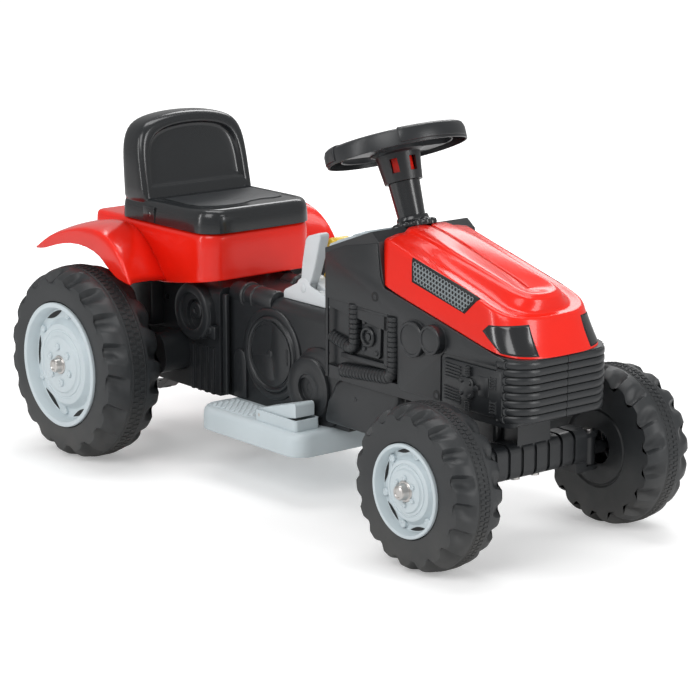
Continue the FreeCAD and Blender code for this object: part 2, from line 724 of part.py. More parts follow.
# Hood: shoulders, centre bulge and nose, with openings for the headlights and the side vents
HOOD_HALF = 85.0
HOOD_WALL = 3.0
HOOD_AHEAD = 86.0
NOSE_LOW_Z = 280.0
NOSE_MID_Z = 326.0
NOSE_TOP_AHEAD = 70.0
NOSE_TOP_Z = 354.0
NOSE_ROUND = 24.0
SHOULDER_REAR_Z = 411.0
BULGE_HALF = 36.0
BULGE_RISE = 7.0
BULGE_FRONT_AHEAD = 52.0
HOOD_EDGE_R = 34.0
HOOD_NOSE_R = 46.0
LIGHT_HIGH_Z = 318.0
LIGHT_LOW_Z = 281.0
LIGHT_INNER_Y = 51.0
LIGHT_TAIL_AHEAD = 2.0
LIGHT_TAIL_Z = 306.0
LIGHT_DEPTH = 10.0
VENT_REAR_BACK = 135.0
VENT_LOW_BACK = 130.0
VENT_FRONT_BACK = 42.0
VENT_TIP_AHEAD = 5.0
VENT_REAR_Z = 386.0
VENT_LOW_Z = 352.0
VENT_FRONT_Z = 331.0
VENT_TIP_Z = 350.0
VENT_ROUND = 4.0
VENT_OUTLINE = [
    (FRONT_X - VENT_REAR_BACK, VENT_REAR_Z), (FRONT_X - VENT_LOW_BACK, VENT_LOW_Z, VENT_ROUND),
    (FRONT_X - VENT_FRONT_BACK, VENT_FRONT_Z, VENT_ROUND), (FRONT_X + VENT_TIP_AHEAD, VENT_TIP_Z, VENT_ROUND),
]
VENT_DEPTH = 2.0
VENT_PLATE = 1.2


def hood_side(thickness):
    """Side outline of the hood under its shoulders."""
    lift = GAP if thickness == 0 else -OVERRUN
    skin = [
        (SEAM_REAR_X, SEAM_REAR_Z),
        (KNEE_X, SEAM_KNEE_Z),
        (FRONT_X + HOOD_AHEAD - NOSE_ROUND / 2, NOSE_LOW_Z, NOSE_ROUND / 4),
        (FRONT_X + HOOD_AHEAD, NOSE_MID_Z, 2 * NOSE_ROUND),
        (FRONT_X + NOSE_TOP_AHEAD, NOSE_TOP_Z, NOSE_ROUND),
        (HOOD_REAR_X, SHOULDER_REAR_Z),
    ]
    skin = inset(skin, thickness)
    low = [(u, v + lift, r) for u, v, r in skin[:2]]
    nose = [(skin[2][0], skin[2][1] + lift, skin[2][2])]
    return low + nose + skin[3:]


def sloped_crown(half, drop, radius):
    """Body under the hood's sloping top, with rounded shoulders."""
    rear = Vector(HOOD_REAR_X, 0, SHOULDER_REAR_Z)
    run = Vector(FRONT_X + NOSE_TOP_AHEAD, 0, NOSE_TOP_Z) - rear
    along = Vector(run).normalize()
    rise = Vector(-along.z, 0, along.x)
    start = rear - along * OVERRUN - rise * drop
    section = [(-half, -WHEEL_Z), (half, -WHEEL_Z), (half, 0, radius), (-half, 0, radius)]
    face = outline(section, lambda u, v: start + LEFT * u + rise * v)
    return outward(face.extrude(along * (2 * run.Length)))


def hood_solid(thickness):
    """Hood with rounded shoulders and nose corners, its walls moved in by thickness."""
    half = HOOD_HALF - thickness
    plan = nose_plan(FRONT_X + HOOD_AHEAD - thickness, half, HOOD_NOSE_R - thickness)
    body = prism_y(hood_side(thickness), -half, half).common(prism_z(plan, 0, WHEEL_Z))
    return body.common(sloped_crown(half, thickness, HOOD_EDGE_R))


def hood_bulge():
    """Raised centre of the hood."""
    fall = (SHOULDER_REAR_Z - NOSE_TOP_Z) / (HOOD_REAR_REACH + NOSE_TOP_AHEAD)
    rear_z = SHOULDER_REAR_Z
    front_x = FRONT_X + BULGE_FRONT_AHEAD
    front_z = rear_z - fall * (front_x - HOOD_REAR_X)
    side = [
        (HOOD_REAR_X, rear_z - HOOD_WALL), (front_x, front_z - HOOD_WALL), (front_x, front_z),
        (front_x - BULGE_RISE * 2, front_z + BULGE_RISE, BULGE_RISE), (HOOD_REAR_X, rear_z + BULGE_RISE),
    ]
    return prism_y(side, -BULGE_HALF, BULGE_HALF)


def light_side():
    """Side outline of a headlight."""
    front_x = FRONT_X + HOOD_AHEAD + OVERRUN
    return [
        (FRONT_X + LIGHT_TAIL_AHEAD, LIGHT_TAIL_Z), (front_x, LIGHT_LOW_Z + LIGHT_DEPTH / 2),
        (front_x, LIGHT_HIGH_Z), (FRONT_X + LIGHT_TAIL_AHEAD, LIGHT_HIGH_Z),
    ]


def corner_skin(outer, inner):
    """Right front corner of the nose, between two distances under the hood's surface."""
    def solid(depth):
        plan = nose_plan(FRONT_X + HOOD_AHEAD - depth, HOOD_HALF - depth, HOOD_NOSE_R - depth)
        return prism_z(plan, 0, WHEEL_Z)
    return solid(outer).cut(solid(inner))


def headlight(grow, outer, inner):
    """Right headlight wrapped round the nose's corner, its outline grown by a clearance."""
    side = prism_y(inset(light_side(), -grow), -HOOD_HALF - OVERRUN, grow - LIGHT_INNER_Y)
    return side.common(corner_skin(outer, inner))


def hood():
    """Hood shell with its screw bosses."""
    body = hood_solid(0)
    shell = joined(body, hood_bulge()).cut(hood_solid(HOOD_WALL))
    screw_posts = []
    for x, y in HOOD_SCREW_SPOTS:
        for side in (-1, 1):
            boss = post(x, side * y, seam_z(x) - OVERRUN, seam_z(x) + HOOD_SCREW_LENGTH + 2 * WALL, BOSS_R)
            inner, outer = sorted((side * y, side * (HOOD_HALF - WALL / 2)))
            tie = block(x - WALL / 2, x + WALL / 2, inner, outer,
                        seam_z(x) - OVERRUN, seam_z(x) + HOOD_SCREW_LENGTH)
            screw_posts += [boss.common(body), tie.common(body)]
    light = headlight(GAP / 2, -OVERRUN, LIGHT_DEPTH)
    vent = prism_y(VENT_OUTLINE, -HOOD_HALF - OVERRUN, VENT_DEPTH - HOOD_HALF)
    openings = [light, mirrored(light), vent, mirrored(vent),
                rod(COLUMN_FOOT - COLUMN_UP * BUSH_H, COLUMN_AT, COLLAR_R + GAP)] + hood_holes
    return joined(shell, *screw_posts).cut(openings)


keep("hood", hood())
light_right = headlight(-GAP / 2, GAP, LIGHT_DEPTH - GAP)
keep("headlights", light_right, mirrored(light_right))
vent_face = VENT_DEPTH - HOOD_HALF
vent_right = prism_y(inset(VENT_OUTLINE, GAP / 2), vent_face - VENT_PLATE, vent_face)
keep("vent_meshes", vent_right, mirrored(vent_right))


# Steering column: collar, tube, wheel, hub with horn pad, rod and bushes; built about Z on the steering axis
COLLAR_H = 12.0
COLLAR_FLANGE_H = 4.0
COLLAR_NECK_R = 27.0
TUBE_TOP_R = 22.5
TUBE_LOW_R = 19.5
TUBE_WALL = 3.0
HUB_LOW = -52.0
HUB_LOW_R = 27.0
HUB_TOP_R = 32.0
HUB_PLATE_R = 38.0
HUB_PLATE_LOW = -10.0
HUB_PLATE_TOP = 4.0
HUB_WALL = 3.5
HUB_SLEEVE_R = 10.0
RIM_R = 100.0
RIM_BAND = 22.0
RIM_HALF_H = 12.0
RIM_ROUND = 9.0
SPOKE_HALF = 20.0
SPOKE_LOW = -8.0
SPOKE_TOP = 3.0
PAD_R = 31.0
PAD_LOW = 8.0
PAD_SHOULDER = 13.0
PAD_TOP = 18.0
PAD_CROWN_R = 22.0
PAD_ROOF = 3.0
LEG_R = 20.5
LEG_THICK = 2.5
LEG_WIDTH = 10.0
LEG_LOW = -42.0
LEG_ANGLES = [-55.0, 0.0, 55.0]
LEG_CLEAR = 0.6
WINDOW_LOW = -40.0
WINDOW_TOP = -20.0
HORN_COIL_R = 11.0
HORN_WIRE_R = 1.0
HORN_PITCH = 4.0
BUSH_FLANGE_R = 12.0
ROD_TOP = 2.0
ROD_END_Z = 134.0
PITMAN_ARM = 29.6
PITMAN_EYE_R = 11.0
PITMAN_H = 8.0
PITMAN_PIN_R = 4.0
PITMAN_PIN_LENGTH = 24.0


def column_collar():
    """Scalloped collar where the column leaves the cowl."""
    low = -COLUMN_LENGTH
    return turned([
        (TUBE_LOW_R, low), (COLLAR_R, low), (COLLAR_R, low + COLLAR_FLANGE_H),
        (COLLAR_NECK_R, low + COLLAR_FLANGE_H), (COLLAR_NECK_R - WALL, low + COLLAR_H),
        (TUBE_LOW_R, low + COLLAR_H),
    ], UP)


def column_tube():
    """Tapered tube between the cowl and the hub."""
    low, top = -COLUMN_LENGTH, HUB_LOW - GAP
    return turned([
        (TUBE_LOW_R - TUBE_WALL, low), (TUBE_LOW_R, low), (TUBE_LOW_R, low + COLLAR_H), (TUBE_TOP_R, top),
        (TUBE_TOP_R - TUBE_WALL, top), (TUBE_LOW_R - TUBE_WALL, low + COLLAR_H),
    ], UP)


def steering_rim():
    """Ring of the steering wheel: a channel open below."""
    inner = RIM_R - RIM_BAND
    return turned([
        (RIM_R, -RIM_HALF_H), (RIM_R, RIM_HALF_H, RIM_ROUND),
        (inner, RIM_HALF_H, RIM_ROUND), (inner, -RIM_HALF_H),
        (inner + WALL, -RIM_HALF_H), (inner + WALL, RIM_HALF_H - WALL, RIM_ROUND - WALL),
        (RIM_R - WALL, RIM_HALF_H - WALL, RIM_ROUND - WALL), (RIM_R - WALL, -RIM_HALF_H),
    ], UP)


def steering_hub():
    """Tapered hub with two spokes, a sleeve for the rod and windows that show the horn pad's legs."""
    core = turned([
        (ROD_R, HUB_LOW), (HUB_LOW_R, HUB_LOW), (HUB_TOP_R, HUB_PLATE_LOW - WALL),
        (HUB_PLATE_R, HUB_PLATE_LOW),
        (HUB_PLATE_R, HUB_PLATE_TOP), (ROD_R, HUB_PLATE_TOP),
    ], UP)
    hollow = turned([
        (HUB_SLEEVE_R, HUB_LOW + HUB_WALL), (HUB_LOW_R - HUB_WALL, HUB_LOW + HUB_WALL),
        (HUB_TOP_R - HUB_WALL, HUB_PLATE_TOP - HUB_WALL), (HUB_SLEEVE_R, HUB_PLATE_TOP - HUB_WALL),
    ], UP)
    inner = RIM_R - RIM_BAND
    bar = block(-SPOKE_HALF, SPOKE_HALF, -RIM_R, RIM_R, SPOKE_LOW, SPOKE_TOP)
    bar = bar.common(post(0, 0, SPOKE_LOW, SPOKE_TOP, inner)).cut(post(0, 0, SPOKE_LOW, SPOKE_TOP, HUB_TOP_R))
    half = LEG_WIDTH / 2 + LEG_CLEAR
    window = block(LEG_R, HUB_PLATE_R, -half, half, WINDOW_LOW, WINDOW_TOP)
    slot = block(LEG_R - LEG_CLEAR, LEG_R + LEG_THICK + LEG_CLEAR, -half, half, 0, PAD_LOW)
    holes = [spun(shape, angle, ORIGIN, UP) for angle in LEG_ANGLES for shape in (window, slot)]
    return joined(core.cut(hollow), bar).cut(holes)


def horn_pad():
    """Domed pad on the hub, with legs that reach down past the windows."""
    dome = turned([
        (0, PAD_TOP - PAD_ROOF), (LEG_R - LEG_THICK, PAD_TOP - 2 * PAD_ROOF),
        (LEG_R - LEG_THICK, PAD_LOW), (PAD_R, PAD_LOW),
        (PAD_R, PAD_SHOULDER, PAD_ROOF), (PAD_CROWN_R, PAD_TOP, PAD_ROOF), (0, PAD_TOP),
    ], UP)
    leg = block(LEG_R, LEG_R + LEG_THICK, -LEG_WIDTH / 2, LEG_WIDTH / 2, LEG_LOW, PAD_SHOULDER - PAD_ROOF)
    return joined(dome, *[spun(leg, angle, ORIGIN, UP) for angle in LEG_ANGLES])


def coil(radius, wire_r, pitch, height):
    """Round-wire coil about Z, standing on z = 0."""
    helix = Part.makeHelix(pitch, height - 2 * wire_r, radius)
    ring = Part.Wire(Part.makeCircle(wire_r, Vector(radius, 0, 0), LEFT))
    return moved(Part.Wire(helix).makePipeShell([ring], True, True), UP * wire_r)


ROD_LENGTH = (WHEEL_Z - ROD_END_Z) / COLUMN_UP.z


def steering_rod():
    """Steel rod from the hub to the front axle, with a crank arm and pin at its lower end."""
    low = -ROD_LENGTH
    arm = joined(
        post(0, 0, low - PITMAN_H, low, PITMAN_EYE_R),
        post(-PITMAN_ARM, 0, low - PITMAN_H, low, PITMAN_EYE_R),
        block(-PITMAN_ARM, 0, -PITMAN_EYE_R, PITMAN_EYE_R, low - PITMAN_H, low),
    )
    pin = post(-PITMAN_ARM, 0, low - PITMAN_PIN_LENGTH, low, PITMAN_PIN_R)
    return joined(post(0, 0, low, ROD_TOP, ROD_R), arm, pin)


def rod_bush(low):
    """Flanged bush round the steering rod, its flange at the given place on the axis."""
    bore = ROD_R + RUN_GAP
    return turned([
        (bore, low), (BUSH_FLANGE_R, low), (BUSH_FLANGE_R, low + WALL), (BUSH_R, low + WALL),
        (BUSH_R, low + BUSH_H), (bore, low + BUSH_H),
    ], UP)


def lower_bush():
    """Bush in the cowl's floor, with its flange under the floor."""
    low = (COWL_FOOT - WHEEL_Z) / COLUMN_UP.z - BUSH_FLANGE_R * math.tan(math.radians(COLUMN_TILT)) - WALL
    return on_column(rod_bush(low))


keep("column_collar", on_column(column_collar()))
keep("column_tube", on_column(column_tube()))
keep("steering_rim", on_column(steering_rim()))
keep("steering_hub", on_column(steering_hub()))
keep("horn_pad", on_column(horn_pad()))
keep("horn_spring", on_column(moved(
    coil(HORN_COIL_R, HORN_WIRE_R, HORN_PITCH, PAD_TOP - 2 * PAD_ROOF - HUB_PLATE_TOP), UP * HUB_PLATE_TOP)))
keep("steering_rod", on_column(steering_rod()))
keep("rod_bushes", on_column(rod_bush(-COLUMN_LENGTH - 2 * WALL)), lower_bush())

# Dash panel behind the wheel and the charging socket in it
DASH_THICK = 5.0
DASH_HALF = 76.0
DASH_LOW_Z = 300.0
DASH_FRONT = 36.0
SOCKET_FLANGE_R = 11.0
SOCKET_FLANGE_H = 3.0
SOCKET_DEPTH = 14.0
SOCKET_BORE_R = 2.75


def dash_panel():
    """Panel over the cowl's sloping top and down its rear face."""
    rear_x = COWL_REAR_X - GAP
    top_low = column_point(-DASH_LENGTH, GAP)
    side = [
        (rear_x, DASH_LOW_Z), (rear_x, top_low[1]), column_point(-DASH_FRONT, GAP),
        column_point(-DASH_FRONT, DASH_THICK),
        (rear_x - DASH_THICK, column_point(-DASH_LENGTH - DASH_THICK, DASH_THICK)[1], DASH_THICK),
        (rear_x - DASH_THICK, DASH_LOW_Z),
    ]
    front = Vector(COWL_REAR_X, SOCKET_Y, SOCKET_Z)
    hole = rod(Vector(rear_x - OVERRUN, SOCKET_Y, SOCKET_Z), front, SOCKET_R + GAP / 2)
    return prism_y(side, -DASH_HALF, DASH_HALF).cut(hole)


def charge_socket():
    """Round charging socket with a flange and a blind bore."""
    face_x = COWL_REAR_X - GAP - DASH_THICK
    at = Vector(face_x, SOCKET_Y, SOCKET_Z)
    body = joined(
        rod(at - FORWARD * SOCKET_FLANGE_H, at, SOCKET_FLANGE_R),
        rod(at, at + FORWARD * (SOCKET_DEPTH + WALL), SOCKET_R),
    )
    return body.cut(rod(at - FORWARD * OVERRUN, at + FORWARD * SOCKET_DEPTH, SOCKET_BORE_R))


keep("dash_panel", dash_panel())
keep("charge_socket", charge_socket())

# Front axle: corrugated beam with forked ends, knuckles on kingpins, and the tie rod
BEAM_HALF_X = 22.0
BEAM_HALF_Y = 96.0
BEAM_LOW = 100.0
BEAM_TOP = 149.0
BEAM_ROUND = 12.0
BEAM_GROOVES = 7
BEAM_GROOVE_WIDTH = 5.0
BEAM_GROOVE_DEPTH = 3.0
PEDESTAL_HALF_X = 18.0
PEDESTAL_HALF_Y = 30.0
KINGPIN_Y = 118.0
KINGPIN_R = 4.0
KINGPIN_HEAD_R = 7.0
KINGPIN_HEAD_H = 3.5
BARREL_R = 11.0
BARREL_HALF = 20.0
EAR_THICK = 6.0
EAR_HALF = 14.0
EAR_GAP = 0.4
FORK_Y = 104.0
ARM_LENGTH = 35.0
ARM_HALF = 6.0
ARM_H = 5.0
ARM_RISE = 3.0
ARM_PIN_R = 4.0
ARM_PIN_DROP = 15.0
STUB_SHOULDER_R = 9.0
TIE_Z = 105.0
TIE_H = 4.0
TIE_HALF = 9.0
TIE_EYE_R = 8.5
TIE_SIDE_GAP = 0.8
TIE_TRAVEL = 5.5
TONGUE_HALF = 13.0
BOLT_HEAD_R = 7.0
BOLT_HEAD_H = 5.0
BOLT_NUT_H = 6.0


def axle_beam():
    """Beam under the cowl with a pedestal and a fork at each end."""
    bar = prism_y(rectangle(FRONT_X - BEAM_HALF_X, FRONT_X + BEAM_HALF_X, BEAM_LOW, BEAM_TOP, BEAM_ROUND),
                  -BEAM_HALF_Y, BEAM_HALF_Y)
    core = rectangle(FRONT_X - BEAM_HALF_X + BEAM_GROOVE_DEPTH, FRONT_X + BEAM_HALF_X - BEAM_GROOVE_DEPTH,
                     BEAM_LOW + BEAM_GROOVE_DEPTH, BEAM_TOP - BEAM_GROOVE_DEPTH, BEAM_ROUND)
    shell = bar.cut(prism_y(core, -BEAM_HALF_Y, BEAM_HALF_Y))
    pitch = 2 * BEAM_HALF_Y / (BEAM_GROOVES + 1)
    grooves = []
    for i in range(BEAM_GROOVES):
        y = pitch * (i + 1) - BEAM_HALF_Y - BEAM_GROOVE_WIDTH / 2
        reach = 2 * BEAM_HALF_X
        slice_box = block(FRONT_X - reach, FRONT_X + reach, y, y + BEAM_GROOVE_WIDTH, 0, BEAM_TOP)
        grooves.append(shell.common(slice_box))
    pedestal = block(FRONT_X - PEDESTAL_HALF_X, FRONT_X + PEDESTAL_HALF_X, -PEDESTAL_HALF_Y, PEDESTAL_HALF_Y,
                     BEAM_TOP - BEAM_ROUND, COWL_FOOT)
    low = FRONT_TYRE_R - BARREL_HALF - EAR_GAP - EAR_THICK
    top = FRONT_TYRE_R + BARREL_HALF + EAR_GAP + EAR_THICK
    fork = joined(
        block(FRONT_X - EAR_HALF, FRONT_X + EAR_HALF, -FORK_Y, 2 * EAR_THICK - BEAM_HALF_Y, low, top),
        *[joined(block(FRONT_X - EAR_HALF, FRONT_X + EAR_HALF, -KINGPIN_Y, -FORK_Y, z, z + EAR_THICK),
                 post(FRONT_X, -KINGPIN_Y, z, z + EAR_THICK, EAR_HALF)) for z in (low, top - EAR_THICK)],
    )
    holes = [post(FRONT_X, side * KINGPIN_Y, low - OVERRUN, top + OVERRUN, KINGPIN_R) for side in (-1, 1)]
    bolt_r = BEAM_BOLT_R + GAP / 2
    holes += [post(FRONT_X, side * BEAM_BOLT_Y, 0, COWL_FOOT + OVERRUN, bolt_r) for side in (-1, 1)]
    return joined(bar.cut(grooves), pedestal, fork, mirrored(fork)).cut(holes)


def kingpin():
    """Right kingpin with its head on the upper ear."""
    low = FRONT_TYRE_R - BARREL_HALF - EAR_GAP - EAR_THICK
    top = FRONT_TYRE_R + BARREL_HALF + EAR_GAP + EAR_THICK
    return joined(
        post(FRONT_X, -KINGPIN_Y, low, top, KINGPIN_R),
        post(FRONT_X, -KINGPIN_Y, top, top + KINGPIN_HEAD_H, KINGPIN_HEAD_R),
    )


def knuckle():
    """Right knuckle: barrel on the kingpin, stub axle, steering arm and its pin."""
    shoulder_y = FRONT_TRACK - FRONT_HALF_WIDTH + INNER_DISH_DEPTH - GAP
    stub_end = FRONT_NUT_Y + NUT_WASHER_H + NUT_H
    arm_z = FRONT_TYRE_R + ARM_RISE
    pin_x = FRONT_X - ARM_LENGTH
    body = joined(
        post(FRONT_X, -KINGPIN_Y, FRONT_TYRE_R - BARREL_HALF, FRONT_TYRE_R + BARREL_HALF, BARREL_R),
        cross_rod(FRONT_AXLE_AT, -shoulder_y, -KINGPIN_Y, STUB_SHOULDER_R),
        cross_rod(FRONT_AXLE_AT, -stub_end, -KINGPIN_Y, STUB_R),
        block(pin_x, FRONT_X, -KINGPIN_Y - ARM_HALF, ARM_HALF - KINGPIN_Y, arm_z, arm_z + ARM_H),
        post(pin_x, -KINGPIN_Y, arm_z, arm_z + ARM_H, ARM_HALF),
        post(pin_x, -KINGPIN_Y, arm_z + ARM_H - ARM_PIN_DROP, arm_z + ARM_H, ARM_PIN_R),
    )
    return body.cut(post(FRONT_X, -KINGPIN_Y, 0, 2 * FRONT_TYRE_R, KINGPIN_R + RUN_GAP))


def eye_slot(x, y, pin_r):
    """Slot for a pin that also moves a little forwards as the wheels turn."""
    half = pin_r + TIE_SIDE_GAP
    slot = rectangle(x - half - TIE_SIDE_GAP, x + half + TIE_TRAVEL, y - half, y + half, half - MIN_EDGE)
    return prism_z(slot, TIE_Z - OVERRUN, TIE_Z + OVERRUN)


def tie_rod():
    """Flat bar between the knuckle arms, with a tongue back to the steering rod's crank pin."""
    bar_x = FRONT_X - ARM_LENGTH
    crank = COLUMN_AT - COLUMN_UP * ROD_LENGTH - COLUMN_ACROSS * PITMAN_ARM
    pin_x = crank.x + (TIE_Z + TIE_H / 2 - crank.z) / COLUMN_UP.z * COLUMN_UP.x
    top = TIE_Z + TIE_H
    ends = [post(bar_x, side * KINGPIN_Y, TIE_Z, top, TIE_EYE_R) for side in (-1, 1)]
    tongue = rectangle(pin_x - TONGUE_HALF, bar_x, -TONGUE_HALF, TONGUE_HALF, TONGUE_HALF / 2)
    plate = joined(
        block(bar_x - TIE_HALF, bar_x + TIE_HALF, -KINGPIN_Y, KINGPIN_Y, TIE_Z, top),
        prism_z(tongue, TIE_Z, top),
        *ends,
    )
    return plate.cut([eye_slot(bar_x, -KINGPIN_Y, ARM_PIN_R), eye_slot(bar_x, KINGPIN_Y, ARM_PIN_R),
                      eye_slot(pin_x, 0, PITMAN_PIN_R)])


def beam_bolt():
    """Bolt through the beam and the cowl's floor, with its nut inside."""
    low, top = BEAM_LOW, COWL_FOOT + WALL
    shank = post(FRONT_X, -BEAM_BOLT_Y, low, top + BOLT_NUT_H, BEAM_BOLT_R)
    return joined(shank, post(FRONT_X, -BEAM_BOLT_Y, low - BOLT_HEAD_H, low, BOLT_HEAD_R),
                  post(FRONT_X, -BEAM_BOLT_Y, top, top + BOLT_NUT_H, BOLT_HEAD_R))


keep("axle_beam", axle_beam())
keep("kingpins", kingpin(), mirrored(kingpin()))
keep("knuckle_right", knuckle())
keep("knuckle_left", mirrored(knuckle()))
keep("tie_rod", tie_rod())
keep("beam_bolts", beam_bolt(), mirrored(beam_bolt()))

# Fender: box under the seat with a wing over each rear tyre
FENDER_TOP = 353.0
FENDER_HALF = 103.0
FENDER_BEHIND = 125.0
FENDER_AHEAD = 175.0
FENDER_ROUND = 14.0
FENDER_TAIL_RISE = 34.0
WING_BEHIND = 57.0
WING_Z = 263.0
WING_R = 85.0
WING_HALF = 188.0
WING_TAIL_Z = 300.0
WING_FRONT_Z = 268.0
WING_CUT_AHEAD = 15.0
WING_CUT_GAP = 6.0
SEAT_LUG_AHEAD = 33.0
SEAT_LUG_HALF = 12.0
SEAT_LUG_H = 24.0
SEAT_LUG_THICK = 11.0
SEAT_SCREW_RISE = 13.0
SEAT_SCREW_LENGTH = 12.0
SEAT_WALL = 4.0


def fender_side():
    """Side outline of the box."""
    rear_x, front_x = REAR_X - FENDER_BEHIND, REAR_X + FENDER_AHEAD
    return [
        (rear_x, TUNNEL_TOP + FENDER_TAIL_RISE, FENDER_ROUND), (rear_x + FENDER_TAIL_RISE, TUNNEL_TOP),
        (front_x, TUNNEL_TOP), (front_x, FENDER_TOP, FENDER_ROUND), (rear_x, FENDER_TOP, FENDER_ROUND),
    ]


def wing():
    """Right mudguard: curved sheet over the tyre, stepped back at the front to clear it."""
    centre = Vector(REAR_X - WING_BEHIND, 0, WING_Z)
    inner_y = WALL - FENDER_HALF
    sheet = cross_rod(centre, -WING_HALF, inner_y, WING_R)
    sheet = sheet.cut(cross_rod(centre, -WING_HALF, inner_y, WING_R - WALL))
    reach = 2 * WING_R
    tyre_face = REAR_TRACK - REAR_HALF_WIDTH
    cuts = [
        block(centre.x - reach, centre.x, -WING_HALF, 0, 0, WING_TAIL_Z),
        block(centre.x, centre.x + reach, -WING_HALF, 0, 0, WING_FRONT_Z),
        block(REAR_X + WING_CUT_AHEAD, centre.x + reach, -WING_HALF, WING_CUT_GAP - tyre_face, 0, FENDER_TOP),
    ]
    return sheet.cut(cuts)


def seat_lug():
    """Right upstand inside the seat that takes its screw."""
    x = REAR_X + SEAT_LUG_AHEAD
    face = FENDER_HALF - SEAT_WALL - GAP
    return block(x - SEAT_LUG_HALF, x + SEAT_LUG_HALF, -face, SEAT_LUG_THICK - face,
                 FENDER_TOP - WALL, FENDER_TOP + SEAT_LUG_H)


SEAT_SCREW_AT = Vector(REAR_X + SEAT_LUG_AHEAD, -FENDER_HALF, FENDER_TOP + SEAT_SCREW_RISE)


def fender():
    """Open-bottomed box with wings, screw posts and seat lugs."""
    box = prism_y(fender_side(), -FENDER_HALF, FENDER_HALF)
    hollow = inset(fender_side(), WALL)
    for corner in (1, 2):
        hollow[corner] = (hollow[corner][0], TUNNEL_TOP - OVERRUN, 0)
    shell = box.cut(prism_y(hollow, WALL - FENDER_HALF, FENDER_HALF - WALL))
    posts = [post(x, y * hand, TUNNEL_TOP, FENDER_TOP - WALL, BOSS_R)
             for x, y in FENDER_SCREW_SPOTS for hand in (-1, 1)]
    lug = seat_lug()
    hole = screw_hole(SEAT_SCREW_AT, LEFT, SEAT_SCREW_LENGTH)
    body = joined(shell, wing(), mirrored(wing()), lug, mirrored(lug), *posts)
    return body.cut(fender_holes + [hole, mirrored(hole)])


keep("fender", fender())

# Seat: moulded shell, cushion and backrest in one
SEAT_BEHIND = 50.0
SEAT_AHEAD = 177.0
SEAT_H = 35.0
SEAT_FRONT_R = 48.0
SEAT_REAR_R = 20.0
BACK_TOP = 503.0
BACK_FRONT = 24.0
BACK_LEAN = 27.0
BACK_THICK = 34.0
BACK_HALF = 93.0
BACK_CORNER_R = 42.0
BACK_EDGE_R = 11.0


def seat_base(thickness, lift):
    """Cushion block, its walls moved in by thickness and its foot dropped by lift."""
    half = FENDER_HALF - thickness
    plan = [
        (REAR_X - SEAT_BEHIND + thickness, -half, SEAT_REAR_R),
        (REAR_X + SEAT_AHEAD - thickness, -half, SEAT_FRONT_R),
        (REAR_X + SEAT_AHEAD - thickness, half, SEAT_FRONT_R),
        (REAR_X - SEAT_BEHIND + thickness, half, SEAT_REAR_R),
    ]
    return prism_z(plan, FENDER_TOP - lift, FENDER_TOP + SEAT_H - thickness)


def seat_back(thickness):
    """Leaning backrest with rounded upper corners, its walls moved in by thickness."""
    front_x = REAR_X + BACK_FRONT
    side = [
        (front_x - BACK_THICK - BACK_FRONT + WALL, FENDER_TOP + SEAT_H / 2),
        (front_x, FENDER_TOP + SEAT_H / 2),
        (front_x - BACK_LEAN, BACK_TOP, BACK_EDGE_R),
        (front_x - BACK_LEAN - BACK_THICK + SEAT_WALL, BACK_TOP, BACK_EDGE_R),
    ]
    half = BACK_HALF - thickness
    top = BACK_TOP - thickness
    face = [(-half, FENDER_TOP), (half, FENDER_TOP), (half, top, BACK_CORNER_R), (-half, top, BACK_CORNER_R)]
    across = prism_x(face, REAR_X - REAR_TYRE_R, REAR_X + REAR_TYRE_R)
    return prism_y(inset(side, thickness), -half, half).common(across)


def seat():
    """Hollow seat, open below."""
    body = joined(seat_base(0, 0), seat_back(0))
    hollow = joined(seat_base(SEAT_WALL, OVERRUN), seat_back(SEAT_WALL))
    hole = screw_hole(SEAT_SCREW_AT, LEFT, SEAT_SCREW_LENGTH)
    return body.cut(hollow).cut([hole, mirrored(hole)])


seat_screw = screw(SEAT_SCREW_AT, LEFT, SEAT_SCREW_LENGTH)
keep("seat", seat())
keep("seat_screws", seat_screw, mirrored(seat_screw))

# Footrest plate under the tunnel, and the accelerator pedal on its right side
FOOT_REAR_AHEAD = 186.0
FOOT_FRONT_AHEAD = 435.0
FOOT_HALF = 135.0
FOOT_LOW = 71.0
FOOT_CORNER_R = 26.0
FRAME_REAR_AHEAD = 318.0
FRAME_LENGTH = 96.0
FRAME_OUTER_Y = 122.0
FRAME_INNER_Y = 78.0
FRAME_H = 16.0
FRAME_ROUND = 5.0
PEDAL_SIDE_GAP = 2.0
PEDAL_PIN_AHEAD = 10.0
PEDAL_PIN_RISE = 9.0
PEDAL_PIN_R = 2.5
PEDAL_EYE_R = 5.5
PEDAL_FRONT_RISE = 41.0
PEDAL_REAR_RISE = 17.0
PEDAL_SKIRT_RISE = 19.0
PEDAL_FRONT_GAP = 3.0
PEDAL_WALL = 3.0
PEDAL_COIL_R = 6.0
PEDAL_WIRE_R = 0.8
PEDAL_COIL_PITCH = 4.0
PEDAL_COIL_AHEAD = 70.0

FRAME_X = REAR_X + FRAME_REAR_AHEAD
PEDAL_PIN_AT = Vector(FRAME_X + PEDAL_PIN_AHEAD, 0, BELLY_Z + PEDAL_PIN_RISE)


def footrest():
    """Open-bottomed plate with rounded corners."""
    x0, x1 = REAR_X + FOOT_REAR_AHEAD, REAR_X + FOOT_FRONT_AHEAD
    plan = rectangle(x0, x1, -FOOT_HALF, FOOT_HALF, FOOT_CORNER_R)
    plate = prism_z(plan, FOOT_LOW, BELLY_Z)
    return plate.cut(prism_z(inset(plan, WALL), FOOT_LOW - OVERRUN, BELLY_Z - WALL)).cut(foot_holes)


